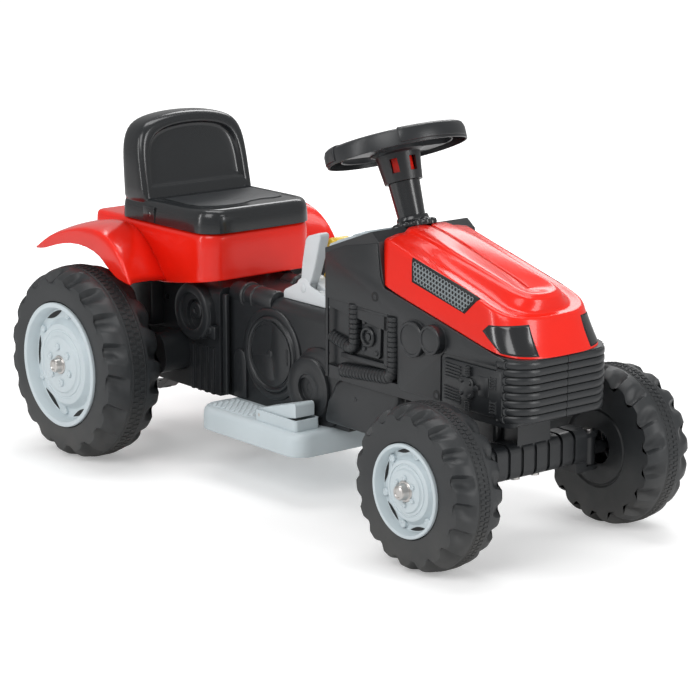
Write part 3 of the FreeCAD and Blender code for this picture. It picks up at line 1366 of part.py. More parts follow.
def pedal_frame():
    """Tray that carries the pedal."""
    plan = rectangle(FRAME_X, FRAME_X + FRAME_LENGTH, -FRAME_OUTER_Y, -FRAME_INNER_Y, FRAME_ROUND)
    tray = prism_z(plan, BELLY_Z, BELLY_Z + FRAME_H)
    well = prism_z(inset(plan, WALL), BELLY_Z + WALL, BELLY_Z + FRAME_H + OVERRUN)
    return tray.cut(well).cut(cross_rod(PEDAL_PIN_AT, -FRAME_OUTER_Y, -FRAME_INNER_Y, PEDAL_PIN_R))


def pedal():
    """Hollow wedge, hinged at its heel."""
    outer = FRAME_OUTER_Y - WALL - PEDAL_SIDE_GAP
    inner = FRAME_INNER_Y + WALL + PEDAL_SIDE_GAP
    rear_x, front_x = FRAME_X + WALL + GAP, FRAME_X + FRAME_LENGTH - WALL - PEDAL_FRONT_GAP
    eye_z = PEDAL_PIN_AT.z
    side = [
        (PEDAL_PIN_AT.x, eye_z - PEDAL_EYE_R, PEDAL_EYE_R / 2),
        (PEDAL_PIN_AT.x + 2 * PEDAL_EYE_R, eye_z - PEDAL_EYE_R / 2),
        (front_x, BELLY_Z + PEDAL_SKIRT_RISE), (front_x, BELLY_Z + PEDAL_FRONT_RISE, PEDAL_EYE_R),
        (rear_x, BELLY_Z + PEDAL_REAR_RISE, PEDAL_WALL), (rear_x, eye_z, PEDAL_WALL),
    ]
    hollow = [
        (PEDAL_PIN_AT.x + 2 * PEDAL_EYE_R, BELLY_Z), (front_x - PEDAL_WALL, BELLY_Z),
        (front_x - PEDAL_WALL, BELLY_Z + PEDAL_FRONT_RISE - PEDAL_WALL),
        (PEDAL_PIN_AT.x + 2 * PEDAL_EYE_R, BELLY_Z + PEDAL_REAR_RISE),
    ]
    body = prism_y(side, -outer, -inner).cut(prism_y(hollow, PEDAL_WALL - outer, -inner - PEDAL_WALL))
    return body.cut(cross_rod(PEDAL_PIN_AT, -outer, -inner, PEDAL_PIN_R + RUN_GAP))


def pedal_spring():
    """Return spring between the tray and the pedal's roof."""
    x = FRAME_X + PEDAL_COIL_AHEAD
    share = PEDAL_COIL_AHEAD / FRAME_LENGTH
    rise = PEDAL_REAR_RISE + share * (PEDAL_FRONT_RISE - PEDAL_REAR_RISE)
    roof = BELLY_Z + rise - PEDAL_WALL - PEDAL_COIL_R / 2
    base = BELLY_Z + WALL
    spring = coil(PEDAL_COIL_R, PEDAL_WIRE_R, PEDAL_COIL_PITCH, roof - base)
    return moved(spring, Vector(x, -(FRAME_OUTER_Y + FRAME_INNER_Y) / 2, base))


keep("footrest", footrest())
keep("footrest_screws", *foot_screws)
keep("pedal_frame", pedal_frame())
keep("pedal", pedal())
keep("pedal_pin", cross_rod(PEDAL_PIN_AT, -FRAME_OUTER_Y, -FRAME_INNER_Y, PEDAL_PIN_R))
keep("pedal_spring", pedal_spring())

# Levers on the tunnel: a bracket with two slots, the gear lever and the play lever
BRACKET_REAR_AHEAD = 287.0
BRACKET_LENGTH = 103.0
BRACKET_END_H = 13.0
BRACKET_RIGHT_Y = 44.0
BRACKET_WIDTH = 60.0
PIVOT_AHEAD = 334.0
PIVOT_RISE = 22.0
PIVOT_CROWN_R = 13.0
LEVER_PIN_R = 3.0
LEVER_EYE_R = 9.0
LEVER_THICK = 12.0
LEVER_SIDE_GAP = 0.6
LEVER_SLOT_R = 23.0
LEVER_TILT = 26.0
GEAR_LEVER_Y = -40.0
PLAY_LEVER_Y = -8.0
GEAR_LEVER_LENGTH = 90.0
GEAR_LEVER_FOOT = 15.0
GEAR_LEVER_HEAD = 30.0
PLAY_LEVER_LENGTH = 82.0
PLAY_LEVER_FOOT = 8.0
PLAY_LEVER_HEAD = 22.0
PLAY_GRIP_SHARE = 0.72
LEVER_HEAD_R = 3.0

PIVOT_AT = Vector(REAR_X + PIVOT_AHEAD, 0, TUNNEL_TOP + PIVOT_RISE)


def lever_bracket():
    """Low housing with a raised crown round the pivot and a slot for each lever."""
    x0 = REAR_X + BRACKET_REAR_AHEAD
    x1 = x0 + BRACKET_LENGTH
    end_z = TUNNEL_TOP + BRACKET_END_H
    crown_z = PIVOT_AT.z + PIVOT_CROWN_R
    side = [
        (x0, TUNNEL_TOP), (x1, TUNNEL_TOP), (x1, end_z, LEVER_HEAD_R),
        (PIVOT_AT.x + PIVOT_CROWN_R, crown_z, PIVOT_CROWN_R),
        (PIVOT_AT.x - PIVOT_CROWN_R, crown_z, PIVOT_CROWN_R),
        (x0, end_z, LEVER_HEAD_R),
    ]
    body = prism_y(side, -BRACKET_RIGHT_Y, BRACKET_WIDTH - BRACKET_RIGHT_Y)
    slots = [slot_for(y) for y in (GEAR_LEVER_Y, PLAY_LEVER_Y)]
    pin_hole = cross_rod(PIVOT_AT, -BRACKET_RIGHT_Y, BRACKET_WIDTH - BRACKET_RIGHT_Y, LEVER_PIN_R)
    return body.cut(slots + [pin_hole])


def slot_for(y):
    """Clearance for one lever's eye and swing."""
    y0, y1 = y - LEVER_SIDE_GAP, y + LEVER_THICK + LEVER_SIDE_GAP
    above = block(PIVOT_AT.x - LEVER_SLOT_R, PIVOT_AT.x + LEVER_SLOT_R, y0, y1,
                  PIVOT_AT.z, PIVOT_AT.z + 2 * LEVER_SLOT_R)
    return cross_rod(PIVOT_AT, y0, y1, LEVER_SLOT_R).fuse(above)


def lever(y, stem):
    """Lever with an eye on the pin, leaning forwards; stem is (half width, height) pairs from the foot up."""
    right = [(PIVOT_AT.x + half, PIVOT_AT.z + rise, LEVER_HEAD_R if rise else 0) for half, rise in stem]
    left = [(PIVOT_AT.x - half, PIVOT_AT.z + rise, LEVER_HEAD_R if rise else 0) for half, rise in stem]
    body = joined(
        prism_y(right + left[::-1], y, y + LEVER_THICK),
        cross_rod(PIVOT_AT, y, y + LEVER_THICK, LEVER_EYE_R),
    )
    body = body.cut(cross_rod(PIVOT_AT, y, y + LEVER_THICK, LEVER_PIN_R + RUN_GAP))
    return spun(body, LEVER_TILT, PIVOT_AT)


keep("lever_bracket", lever_bracket())
keep("gear_lever", lever(GEAR_LEVER_Y, [(GEAR_LEVER_FOOT / 2, 0), (GEAR_LEVER_HEAD / 2, GEAR_LEVER_LENGTH)]))
keep("play_lever", lever(PLAY_LEVER_Y, [
    (PLAY_LEVER_FOOT / 2, 0), (PLAY_LEVER_FOOT / 2, PLAY_LEVER_LENGTH * PLAY_GRIP_SHARE),
    (PLAY_LEVER_HEAD / 2, PLAY_LEVER_LENGTH * PLAY_GRIP_SHARE), (PLAY_LEVER_HEAD / 2, PLAY_LEVER_LENGTH)]))
keep("lever_pin", cross_rod(PIVOT_AT, -BRACKET_RIGHT_Y, BRACKET_WIDTH - BRACKET_RIGHT_Y, LEVER_PIN_R))

# Drive: battery, motor, pinion, idler and drive gear in a case beside the rear housing
TOOTH_TIP_SHARE = 0.9
TOOTH_ROOT_SHARE = 1.2
TOOTH_TOP_SHARE = 0.42
TOOTH_FOOT_SHARE = 1.20
TOOTH_FILL_SHARE = 0.86
CASE_DEPTH = 46.0
CASE_AXLE_HALF = 38.0
CASE_MOTOR_HALF = 30.0
CASE_BEHIND = 38.0
CASE_AHEAD = 26.0
CASE_ROUND = 24.0
DRIVE_GEAR_Y = -112.0
DRIVE_GEAR_W = 10.0
DRIVE_HUB_R = 14.0
DRIVE_HUB_GAP = 0.6
IDLER_POST_R = 2.5
IDLER_Y = -114.0
IDLER_W = 16.0
IDLER_WHEEL_W = 8.0
PINION_Y = -102.0
PINION_W = 18.0
SHAFT_R = 1.6
SHAFT_DEPTH = 20.0
MOTOR_NOSE_R = 7.0
MOTOR_TAIL_R = 9.0
MOTOR_TAIL_H = 5.0
BATTERY_SIZE = (101.0, 70.0, 95.0)
BATTERY_AHEAD = 55.0
BATTERY_Y = -8.0
TERMINAL_HALF = 3.0
TERMINAL_H = 6.0


def gear(teeth, y0, width, phase):
    """Gear about Y at the origin with one tooth at the phase angle, measured from +X towards +Z."""
    pitch_r = GEAR_MODULE * teeth / 2
    tip_r = pitch_r + GEAR_MODULE * TOOTH_TIP_SHARE
    root_r = pitch_r - GEAR_MODULE * TOOTH_ROOT_SHARE
    half = math.pi / (2 * teeth) * TOOTH_FILL_SHARE
    points = []
    for i in range(teeth):
        centre = math.radians(phase) + 2 * math.pi * i / teeth
        for r, spread in ((root_r, -TOOTH_FOOT_SHARE), (tip_r, -TOOTH_TOP_SHARE),
                          (tip_r, TOOTH_TOP_SHARE), (root_r, TOOTH_FOOT_SHARE)):
            angle = centre + half * spread
            points.append((r * math.cos(angle), r * math.sin(angle)))
    return prism_y(points, y0, y0 + width)


def gap_phase(teeth):
    """Phase that turns a gap, not a tooth, back towards the gear behind on the train's line."""
    return GEAR_TILT + FULL_TURN / 2 + FULL_TURN / teeth / 2


def on_axis(shape, at):
    """Sets a shape built about Y at the origin on a parallel axis."""
    return moved(shape, Vector(at.x, 0, at.z))


def drive_gear():
    """Gear on the right rear wheel, with a hub that reaches into the wheel's dish."""
    dish_y = REAR_HALF_WIDTH - INNER_DISH_DEPTH - REAR_TRACK
    hub_end = DRIVE_GEAR_Y + DRIVE_GEAR_W
    body = joined(gear(DRIVE_TEETH, DRIVE_GEAR_Y, DRIVE_GEAR_W, GEAR_TILT),
                  cross_rod(ORIGIN, dish_y, hub_end, DRIVE_HUB_R))
    return on_axis(body.cut(cross_rod(ORIGIN, dish_y, hub_end, AXLE_R + RUN_GAP)), REAR_AXLE_AT)


def idler_gear():
    """Small gear that meets the drive gear and the large one that meets the pinion."""
    wheel_y = IDLER_Y + IDLER_W
    body = joined(gear(IDLER_TEETH, IDLER_Y, IDLER_W, gap_phase(IDLER_TEETH)),
                  gear(IDLER_WHEEL_TEETH, wheel_y, IDLER_WHEEL_W, GEAR_TILT))
    bore = cross_rod(ORIGIN, IDLER_Y, wheel_y + IDLER_WHEEL_W, IDLER_POST_R + RUN_GAP)
    return on_axis(body.cut(bore), IDLER_AT)


def motor_pinion():
    """Pinion and the motor's shaft."""
    end = PINION_Y + PINION_W
    return on_axis(joined(gear(PINION_TEETH, PINION_Y, PINION_W, gap_phase(PINION_TEETH)),
                          cross_rod(ORIGIN, end, end + SHAFT_DEPTH, SHAFT_R)), MOTOR_AT)


def gearbox_case():
    """Closed case on the housing's right side, with the idler's post."""
    face = -HOUSING_HALF
    far = face - CASE_DEPTH
    reach = GEAR_MODULE * (DRIVE_TEETH + IDLER_TEETH + IDLER_WHEEL_TEETH + PINION_TEETH) / 2
    side = [
        (-CASE_BEHIND, -CASE_AXLE_HALF, CASE_ROUND), (reach + CASE_AHEAD, -CASE_MOTOR_HALF, CASE_ROUND),
        (reach + CASE_AHEAD, CASE_MOTOR_HALF, CASE_ROUND), (-CASE_BEHIND, CASE_AXLE_HALF, CASE_ROUND),
    ]
    box = prism_y(side, far, face).cut(prism_y(inset(side, WALL), far + WALL, face - WALL))
    box = on_axis(spun(box, -GEAR_TILT), REAR_AXLE_AT)
    holes = [
        cross_rod(REAR_AXLE_AT, far - OVERRUN, far + 2 * WALL, DRIVE_HUB_R + DRIVE_HUB_GAP),
        cross_rod(REAR_AXLE_AT, face - 2 * WALL, face, AXLE_R + GAP),
        cross_rod(MOTOR_AT, face - 2 * WALL, face, MOTOR_NOSE_R + GAP / 2),
    ]
    return joined(box.cut(holes), cross_rod(IDLER_AT, far + WALL / 2, face - WALL / 2, IDLER_POST_R))


def motor():
    """Can motor with its nose in the case and its tail inside the housing."""
    face = -HOUSING_HALF
    body = joined(
        cross_rod(MOTOR_AT, face, face + MOTOR_LENGTH, MOTOR_R),
        cross_rod(MOTOR_AT, face - WALL, face, MOTOR_NOSE_R),
        cross_rod(MOTOR_AT, face + MOTOR_LENGTH, face + MOTOR_LENGTH + MOTOR_TAIL_H, MOTOR_TAIL_R),
    )
    end = PINION_Y + PINION_W + SHAFT_DEPTH
    return body.cut(cross_rod(MOTOR_AT, face - OVERRUN, end + GAP, SHAFT_R + RUN_GAP))


def battery():
    """Sealed block battery on the housing's floor."""
    length, width, height = BATTERY_SIZE
    x, z = REAR_X + BATTERY_AHEAD, BELLY_Z + WALL
    case = block(x, x + length, BATTERY_Y, BATTERY_Y + width, z, z + height)
    middle, top = x + length / 2, z + height
    tabs = [block(middle - TERMINAL_HALF, middle + TERMINAL_HALF, y - TERMINAL_HALF, y + TERMINAL_HALF,
                  top, top + TERMINAL_H) for y in (BATTERY_Y + width / 4, BATTERY_Y + width * 3 / 4)]
    return joined(case, *tabs)


def axle_bush():
    """Right flanged bush in the housing wall, its flange inside."""
    face, inside = -HOUSING_HALF, WALL - HOUSING_HALF
    body = joined(cross_rod(REAR_AXLE_AT, face, inside, AXLE_BUSH_R),
                  cross_rod(REAR_AXLE_AT, inside, inside + AXLE_BUSH_FLANGE_H, AXLE_BUSH_FLANGE_R))
    return body.cut(cross_rod(REAR_AXLE_AT, face, inside + OVERRUN, AXLE_R))


keep("drive_gear", drive_gear())
keep("idler_gear", idler_gear())
keep("motor_pinion", motor_pinion())
keep("gearbox_case", gearbox_case())
keep("motor", motor())
keep("battery", battery())
keep("axle_bushes", axle_bush(), mirrored(axle_bush()))

# Tow hitch under the tail
HITCH_HALF = 16.0
HITCH_THICK = 8.0
HITCH_FRONT_AHEAD = 20.0
HITCH_DROP_X = 28.0
HITCH_DROP = 38.0
HITCH_RUN = 50.0
HITCH_EYE_X = 88.0
HITCH_EYE_R = 16.0
HITCH_BORE_R = 6.0


def tow_hitch():
    """Bent plate with an eye for a trailer's pin."""
    x0, x1 = REAR_X + HITCH_FRONT_AHEAD, REAR_X - HITCH_DROP_X
    x2, x3 = x1 - HITCH_RUN, REAR_X - HITCH_EYE_X
    low = BELLY_Z - HITCH_DROP
    side = [
        (x0, BELLY_Z), (x1, BELLY_Z), (x2, low), (x3, low), (x3, low - HITCH_THICK),
        (x2 + HITCH_THICK / 2, low - HITCH_THICK),
        (x1 + HITCH_THICK / 2, BELLY_Z - HITCH_THICK), (x0, BELLY_Z - HITCH_THICK),
    ]
    eye = post(x3, 0, low - HITCH_THICK, low, HITCH_EYE_R)
    return joined(prism_y(side, -HITCH_HALF, HITCH_HALF), eye).cut(post(x3, 0, 0, BELLY_Z, HITCH_BORE_R))


keep("tow_hitch", tow_hitch())

# Wiring from the battery to the motor, the dash and the pedal
WIRE_R = 2.5
LOOM_Z = 222.0
LOOM_Y = 10.0


def loom(points):
    """Bundle of wires along straight runs with round bends."""
    runs = [rod(a, b, WIRE_R) for a, b in zip(points, points[1:])]
    bends = [Part.makeSphere(WIRE_R, p) for p in points]
    return joined(*runs, *bends)


def wiring():
    """Run from the battery's terminals along the tunnel to the charging socket."""
    length, width, height = BATTERY_SIZE
    terminal_z = BELLY_Z + WALL + height + TERMINAL_H
    start = Vector(REAR_X + BATTERY_AHEAD + length / 2, LOOM_Y, terminal_z + WIRE_R + GAP)
    socket = Vector(COWL_REAR_X + SOCKET_DEPTH + OVERRUN, SOCKET_Y, SOCKET_Z)
    return loom([
        start, Vector(start.x, LOOM_Y, LOOM_Z), Vector(COWL_REAR_X + OVERRUN, LOOM_Y, LOOM_Z),
        Vector(socket.x, SOCKET_Y, LOOM_Z + OVERRUN), socket,
    ])


keep("wiring_loom", wiring())


def write_parts():
    """One file for each piece."""
    os.makedirs("parts", exist_ok=True)
    for name, shape in parts.items():
        shape.exportStep("parts/" + name + ".step")


write_parts()
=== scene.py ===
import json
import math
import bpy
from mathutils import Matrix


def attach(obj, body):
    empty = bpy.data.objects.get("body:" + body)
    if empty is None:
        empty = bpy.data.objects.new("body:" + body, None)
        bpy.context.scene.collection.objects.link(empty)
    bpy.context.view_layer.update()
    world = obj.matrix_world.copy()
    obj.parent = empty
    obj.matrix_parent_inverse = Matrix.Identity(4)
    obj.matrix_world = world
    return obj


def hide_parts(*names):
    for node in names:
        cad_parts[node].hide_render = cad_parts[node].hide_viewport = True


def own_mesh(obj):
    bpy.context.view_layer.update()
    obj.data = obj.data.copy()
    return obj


bl_info = {
    "name": "Ride-on Tractor",
    "version": (1, 0, 0),
    "blender": (4, 5, 0),
    "location": "View3D > Sidebar > Tractor",
    "description": "Dresses the frame of a battery ride-on toy tractor",
    "category": "Object",
}

import bmesh
import bpy
from bpy.props import FloatProperty, FloatVectorProperty, IntProperty, PointerProperty
from bpy.types import Operator, Panel, PropertyGroup
from mathutils import Matrix, Vector
from mathutils.bvhtree import BVHTree

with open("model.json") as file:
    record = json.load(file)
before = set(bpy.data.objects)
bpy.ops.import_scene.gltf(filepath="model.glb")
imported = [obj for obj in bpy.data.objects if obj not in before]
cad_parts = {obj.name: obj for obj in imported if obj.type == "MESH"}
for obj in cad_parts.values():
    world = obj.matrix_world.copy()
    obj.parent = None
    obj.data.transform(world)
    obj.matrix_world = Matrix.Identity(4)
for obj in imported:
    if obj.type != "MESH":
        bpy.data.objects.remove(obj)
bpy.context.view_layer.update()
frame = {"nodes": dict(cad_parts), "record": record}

# Pieces are drawn in millimetres and brought to metres when they are finished.
MM = 0.001
TURN = 2 * math.pi
UP = Vector((0, 0, 1))
SIDES = {"right": -1, "left": 1}
SHARP = math.radians(30)
SHELL_WALL = 0.0028
REAR_X, FRONT_X = -363.0, 397.0
WHEEL_TILT = math.radians(20)
COLUMN_UP = Vector((-math.sin(WHEEL_TILT), 0, math.cos(WHEEL_TILT)))
COLUMN_ACROSS = Vector((COLUMN_UP.z, 0, -COLUMN_UP.x))
WHEEL_AT = Vector((125, 0, 514))


def measure(name, note, value):
    """Length that a maker can change."""
    return FloatProperty(name=name, description=note, default=value, unit="LENGTH")


def paint(name, note, value):
    """Colour that a maker can change."""
    return FloatVectorProperty(name=name, description=note, default=value, subtype="COLOR")


class TractorSizes(PropertyGroup):
    """Sizes that a maker would change."""
    rear_tyre: measure("Rear tyre", "Radius over the rear lugs", 0.147)
    front_tyre: measure("Front tyre", "Radius over the front lugs", 0.113)
    lugs: IntProperty(name="Lugs", description="Lugs round each side of a tyre", default=18, min=6)
    lug_depth: measure("Lug depth", "Depth of the valleys between lugs", 0.012)
    band_teeth: IntProperty(name="Band teeth", description="Knurls round a tread band", default=96, min=24)
    hood_wall: measure("Hood wall", "Thickness of the hood's shell", 0.0025)
    vent_cell: measure("Vent cell", "Distance between the vent's holes", 0.0066)
    lens: FloatProperty(name="Lens", description="Focal length of the camera", default=133.17)


class TractorColours(PropertyGroup):
    """Colours of the finishes."""
    red: paint("Red", "Hood, fender and horn pad", (0.83, 0.015, 0.005))
    black: paint("Black", "Body and small mouldings", (0.0158, 0.0176, 0.0196))
    seat: paint("Seat", "Seat moulding", (0.0128, 0.0145, 0.0162))
    grey: paint("Grey", "Wheel rims, footrest and pedal", (0.56, 0.63, 0.66))
    white: paint("White", "Gear lever and its bracket", (0.66, 0.69, 0.71))
    yellow: paint("Yellow", "Play lever", (0.75, 0.50, 0.02))
    tyre: paint("Tyre", "Blow moulded tyres", (0.0200, 0.0223, 0.0242))
    steel: paint("Steel", "Nuts, pins and screws", (0.58, 0.56, 0.54))
    floor: paint("Floor", "Floor under the tractor", (0.86, 0.86, 0.86))


def sizes():
    """Sizes set in the panel."""
    return bpy.context.scene.tractor_sizes


def colours():
    """Colours set in the panel."""
    return bpy.context.scene.tractor_colours


# Finishes

def new_group(name, inputs, outputs):
    """Empty shader node group with its named sockets."""
    group = bpy.data.node_groups.new(name, "ShaderNodeTree")
    for label, kind, value in inputs:
        socket = group.interface.new_socket(label, in_out="INPUT", socket_type=kind)
        if value is not None:
            socket.default_value = value
    for label, kind in outputs:
        group.interface.new_socket(label, in_out="OUTPUT", socket_type=kind)
    return group, group.nodes.new("NodeGroupInput"), group.nodes.new("NodeGroupOutput")


def noise(tree, vector, scale, detail):
    """Noise texture on a vector, with its scale from a socket or a number."""
    node = tree.nodes.new("ShaderNodeTexNoise")
    node.inputs["Detail"].default_value = detail
    tree.links.new(vector, node.inputs["Vector"])
    if isinstance(scale, (int, float)):
        node.inputs["Scale"].default_value = scale
    else:
        tree.links.new(scale, node.inputs["Scale"])
    return node.outputs["Fac"]


def maths(tree, operation, a, b, clamp=False):
    """Math node whose inputs are sockets or numbers."""
    node = tree.nodes.new("ShaderNodeMath")
    node.operation, node.use_clamp = operation, clamp
    for socket, value in zip(node.inputs, (a, b)):
        if isinstance(value, (int, float)):
            socket.default_value = value
        else:
            tree.links.new(value, socket)
    return node.outputs[0]


def moulded_grain():
    """Fine spark-eroded grain and a slow mottle of the moulding."""
    group, into, out = new_group("moulded grain", [("Vector", "NodeSocketVector", None),
                                                   ("Grain", "NodeSocketFloat", 900.0)],
                                 [("Height", "NodeSocketFloat"), ("Mottle", "NodeSocketFloat")])
    fine = noise(group, into.outputs["Vector"], into.outputs["Grain"], 3.0)
    slow = noise(group, into.outputs["Vector"], 14.0, 2.0)
    wave = maths(group, "MULTIPLY", noise(group, into.outputs["Vector"], 60.0, 1.0), 0.6)
    group.links.new(maths(group, "ADD", fine, wave), out.inputs["Height"])
    group.links.new(slow, out.inputs["Mottle"])
    return group


def soft_edges():
    """Rounds hard edges in the light, and masks them for the painted highlight on edges."""
    group, into, out = new_group("soft edges", [("Radius", "NodeSocketFloat", 0.001)],
                                 [("Normal", "NodeSocketVector"), ("Edge", "NodeSocketFloat")])
    bevel = group.nodes.new("ShaderNodeBevel")
    bevel.samples = 6
    group.links.new(into.outputs["Radius"], bevel.inputs["Radius"])
    plain = group.nodes.new("ShaderNodeNewGeometry")
    dot = group.nodes.new("ShaderNodeVectorMath")
    dot.operation = "DOT_PRODUCT"
    group.links.new(bevel.outputs["Normal"], dot.inputs[0])
    group.links.new(plain.outputs["Normal"], dot.inputs[1])
    bend = maths(group, "SUBTRACT", 1.0, dot.outputs["Value"], clamp=True)
    group.links.new(maths(group, "MULTIPLY", bend, 4.0, clamp=True), out.inputs["Edge"])
    group.links.new(bevel.outputs["Normal"], out.inputs["Normal"])
    return group


def floor_dust():
    """Mask of the faint dust that gathers low on the tractor."""
    group, into, out = new_group("floor dust", [("Vector", "NodeSocketVector", None),
                                                ("Reach", "NodeSocketFloat", 0.12)],
                                 [("Dust", "NodeSocketFloat")])
    split = group.nodes.new("ShaderNodeSeparateXYZ")
    group.links.new(into.outputs["Vector"], split.inputs[0])
    height = maths(group, "DIVIDE", split.outputs["Z"], into.outputs["Reach"])
    low = maths(group, "SUBTRACT", 1.0, height, clamp=True)
    patch = maths(group, "MULTIPLY", low, noise(group, into.outputs["Vector"], 35.0, 5.0))
    group.links.new(patch, out.inputs["Dust"])
    return group


def placed_group(tree, name, maker):
    """Node that places a shared group, made the first time that it is asked for."""
    node = tree.nodes.new("ShaderNodeGroup")
    node.node_tree = bpy.data.node_groups.get(name) or maker()
    return node


def blend_colour(tree, mask, first, second):
    """Colour that goes from first to second by a mask."""
    node = tree.nodes.new("ShaderNodeMix")
    node.data_type = "RGBA"
    tree.links.new(mask, node.inputs["Factor"])
    for socket, value in ((node.inputs["A"], first), (node.inputs["B"], second)):
        if isinstance(value, bpy.types.NodeSocket):
            tree.links.new(value, socket)
        else:
            socket.default_value = (*value, 1)
    return node.outputs["Result"]


def shade(colour, share):
    """A colour made darker or lighter by a share."""
    return tuple(min(1.0, c * share) for c in colour)


EDGE_RADIUS = 0.0008
MOTTLE_SHARE = 0.08
ROUGH_SPREAD = 0.10
COAT_ROUGHNESS = 0.08
DUST_COLOUR = (0.35, 0.33, 0.30)


def finish(name, colour, rough, grain=900.0, height=0.00004, lift=1.25, dust=0.15, metal=0.0, coat=0.0,
           specular=0.5):
    """Material of one finish: mottled colour, softened edges painted lighter as a painted highlight, faint
    dust, grain in the bump.
    """
    material = bpy.data.materials.get(name)
    if material:
        return material
    material = bpy.data.materials.new(name)
    material.use_nodes = True
    tree = material.node_tree
    shader = tree.nodes["Principled BSDF"]
    place = tree.nodes.new("ShaderNodeTexCoord").outputs["Object"]
    moulded = placed_group(tree, "moulded grain", moulded_grain)
    moulded.inputs["Grain"].default_value = grain
    tree.links.new(place, moulded.inputs["Vector"])
    edges = placed_group(tree, "soft edges", soft_edges)
    edges.inputs["Radius"].default_value = EDGE_RADIUS
    dusty = placed_group(tree, "floor dust", floor_dust)
    tree.links.new(place, dusty.inputs["Vector"])
    base = blend_colour(tree, moulded.outputs["Mottle"], shade(colour, 1 + MOTTLE_SHARE),
                        shade(colour, 1 - MOTTLE_SHARE))
    # Edges painted lighter by lift: a painted highlight on every rounded edge.
    base = blend_colour(tree, edges.outputs["Edge"], base, shade(colour, lift))
    dust_mask = maths(tree, "MULTIPLY", dusty.outputs["Dust"], dust)
    tree.links.new(blend_colour(tree, dust_mask, base, DUST_COLOUR), shader.inputs["Base Color"])
    spread = maths(tree, "MULTIPLY_ADD", moulded.outputs["Mottle"], ROUGH_SPREAD)
    spread.node.inputs[2].default_value = rough - ROUGH_SPREAD / 2
    tree.links.new(maths(tree, "ADD", spread, dust_mask, clamp=True), shader.inputs["Roughness"])
    bump = tree.nodes.new("ShaderNodeBump")
    bump.inputs["Distance"].default_value = height
    tree.links.new(moulded.outputs["Height"], bump.inputs["Height"])
    tree.links.new(edges.outputs["Normal"], bump.inputs["Normal"])
    tree.links.new(bump.outputs["Normal"], shader.inputs["Normal"])
    shader.inputs["Metallic"].default_value = metal
    shader.inputs["Coat Weight"].default_value = coat
    shader.inputs["Coat Roughness"].default_value = COAT_ROUGHNESS
    shader.inputs["Specular IOR Level"].default_value = specular
    return material


# Looks by slot, and two more: material, colour, share of it, roughness, and what differs from a plain
# finish
# Lift sets how much lighter the edges are painted, as a painted highlight.
LOOKS = {
    "red_plastic": ("red gloss", "red", 1.0, 0.24,
                    {"grain": 300.0, "height": 0.00001, "coat": 0.25, "dust": 0.0, "lift": 1.0,
                     "specular": 0.35}),
    "black_plastic": ("black satin", "black", 1.0, 0.34, {"grain": 1100.0, "height": 0.00005, "lift": 2.2}),
    "seat_plastic": ("seat gloss", "seat", 1.0, 0.22,
                     {"grain": 500.0, "height": 0.00002, "coat": 0.2, "dust": 0.0, "lift": 1.4}),
    "seat_leather": ("seat grain", "seat", 1.5, 0.5, {"grain": 420.0, "height": 0.0003, "dust": 0.0}),
    "grey_plastic": ("grey satin", "grey", 1.0, 0.42, {"height": 0.00003, "lift": 1.1}),
    "white_plastic": ("white satin", "white", 1.0, 0.4, {"height": 0.00003, "lift": 1.1}),
    "yellow_plastic": ("yellow gloss", "yellow", 1.0, 0.3, {"height": 0.00002, "lift": 1.1}),
    "tyre_plastic": ("tyre satin", "tyre", 1.0, 0.47,
                     {"grain": 700.0, "height": 0.00006, "lift": 1.9, "dust": 0.25}),
    "band_rubber": ("band rubber", "tyre", 0.75, 0.62,
                    {"grain": 500.0, "height": 0.0001, "lift": 2.6, "dust": 0.4}),
    "steel": ("zinc steel", "steel", 1.0, 0.30,
              {"grain": 1500.0, "height": 0.00002, "metal": 1.0, "lift": 1.15, "dust": 0.0}),
    "lamp_plastic": ("lamp gloss", "black", 0.55, 0.16,
                     {"grain": 200.0, "height": 0.00001, "coat": 0.5, "dust": 0.0}),
    # Near-black painted shade, put where only shade is seen: slots, wells, seams and behind the vents.
    "dark_well": ("dark well", "black", 0.3, 0.6, {"dust": 0.0, "lift": 1.0}),
    "mesh_grey": ("vent grey", "grey", 0.42, 0.34, {"height": 0.00002}),
    "gear_nylon": ("gear nylon", (0.62, 0.60, 0.52), 1.0, 0.5, {"dust": 0.0}),
    "battery_case": ("battery grey", (0.06, 0.06, 0.07), 1.0, 0.5, {"dust": 0.0}),
    "wire_rubber": ("wire rubber", (0.02, 0.02, 0.02), 1.0, 0.5, {"dust": 0.0}),
}


def look(key):
    """Material of a slot, or one of the two more."""
    name, colour, share, rough, more = LOOKS[key]
    colour = getattr(colours(), colour) if isinstance(colour, str) else colour
    return finish(name, shade(colour, share), rough, **more)


# Mesh helpers

def strip(bm, points, closed=False):
    """Row of vertices joined by edges."""
    verts = [bm.verts.new(p) for p in points]
    pairs = list(zip(verts, verts[1:])) + ([(verts[-1], verts[0])] if closed else [])
    return verts, [bm.edges.new(pair) for pair in pairs]


def turned(profile, centre, axis, steps, closed=False):
    """Profile of (radius, along) points spun round an axis through centre."""
    bm = bmesh.new()
    side = axis.orthogonal().normalized()
    verts, edges = strip(bm, [centre + side * r + axis * along for r, along in profile], closed)
    bmesh.ops.spin(bm, geom=verts + edges, cent=centre, axis=axis, angle=TURN, steps=steps, use_merge=True)
    clean(bm)
    return bm


def outwards(bm):
    """Points the faces outwards."""
    bmesh.ops.recalc_face_normals(bm, faces=bm.faces)


def clean(bm):
    """Merges doubles and points the faces outwards."""
    bmesh.ops.remove_doubles(bm, verts=bm.verts, dist=0.01)
    outwards(bm)


def bridged(bm, rows, closed=False):
    """Skin over rows of points, each joined to the next."""
    loops = [strip(bm, row, closed)[1] for row in rows]
    for first, second in zip(loops, loops[1:]):
        bmesh.ops.bridge_loops(bm, edges=first + second)
    return loops


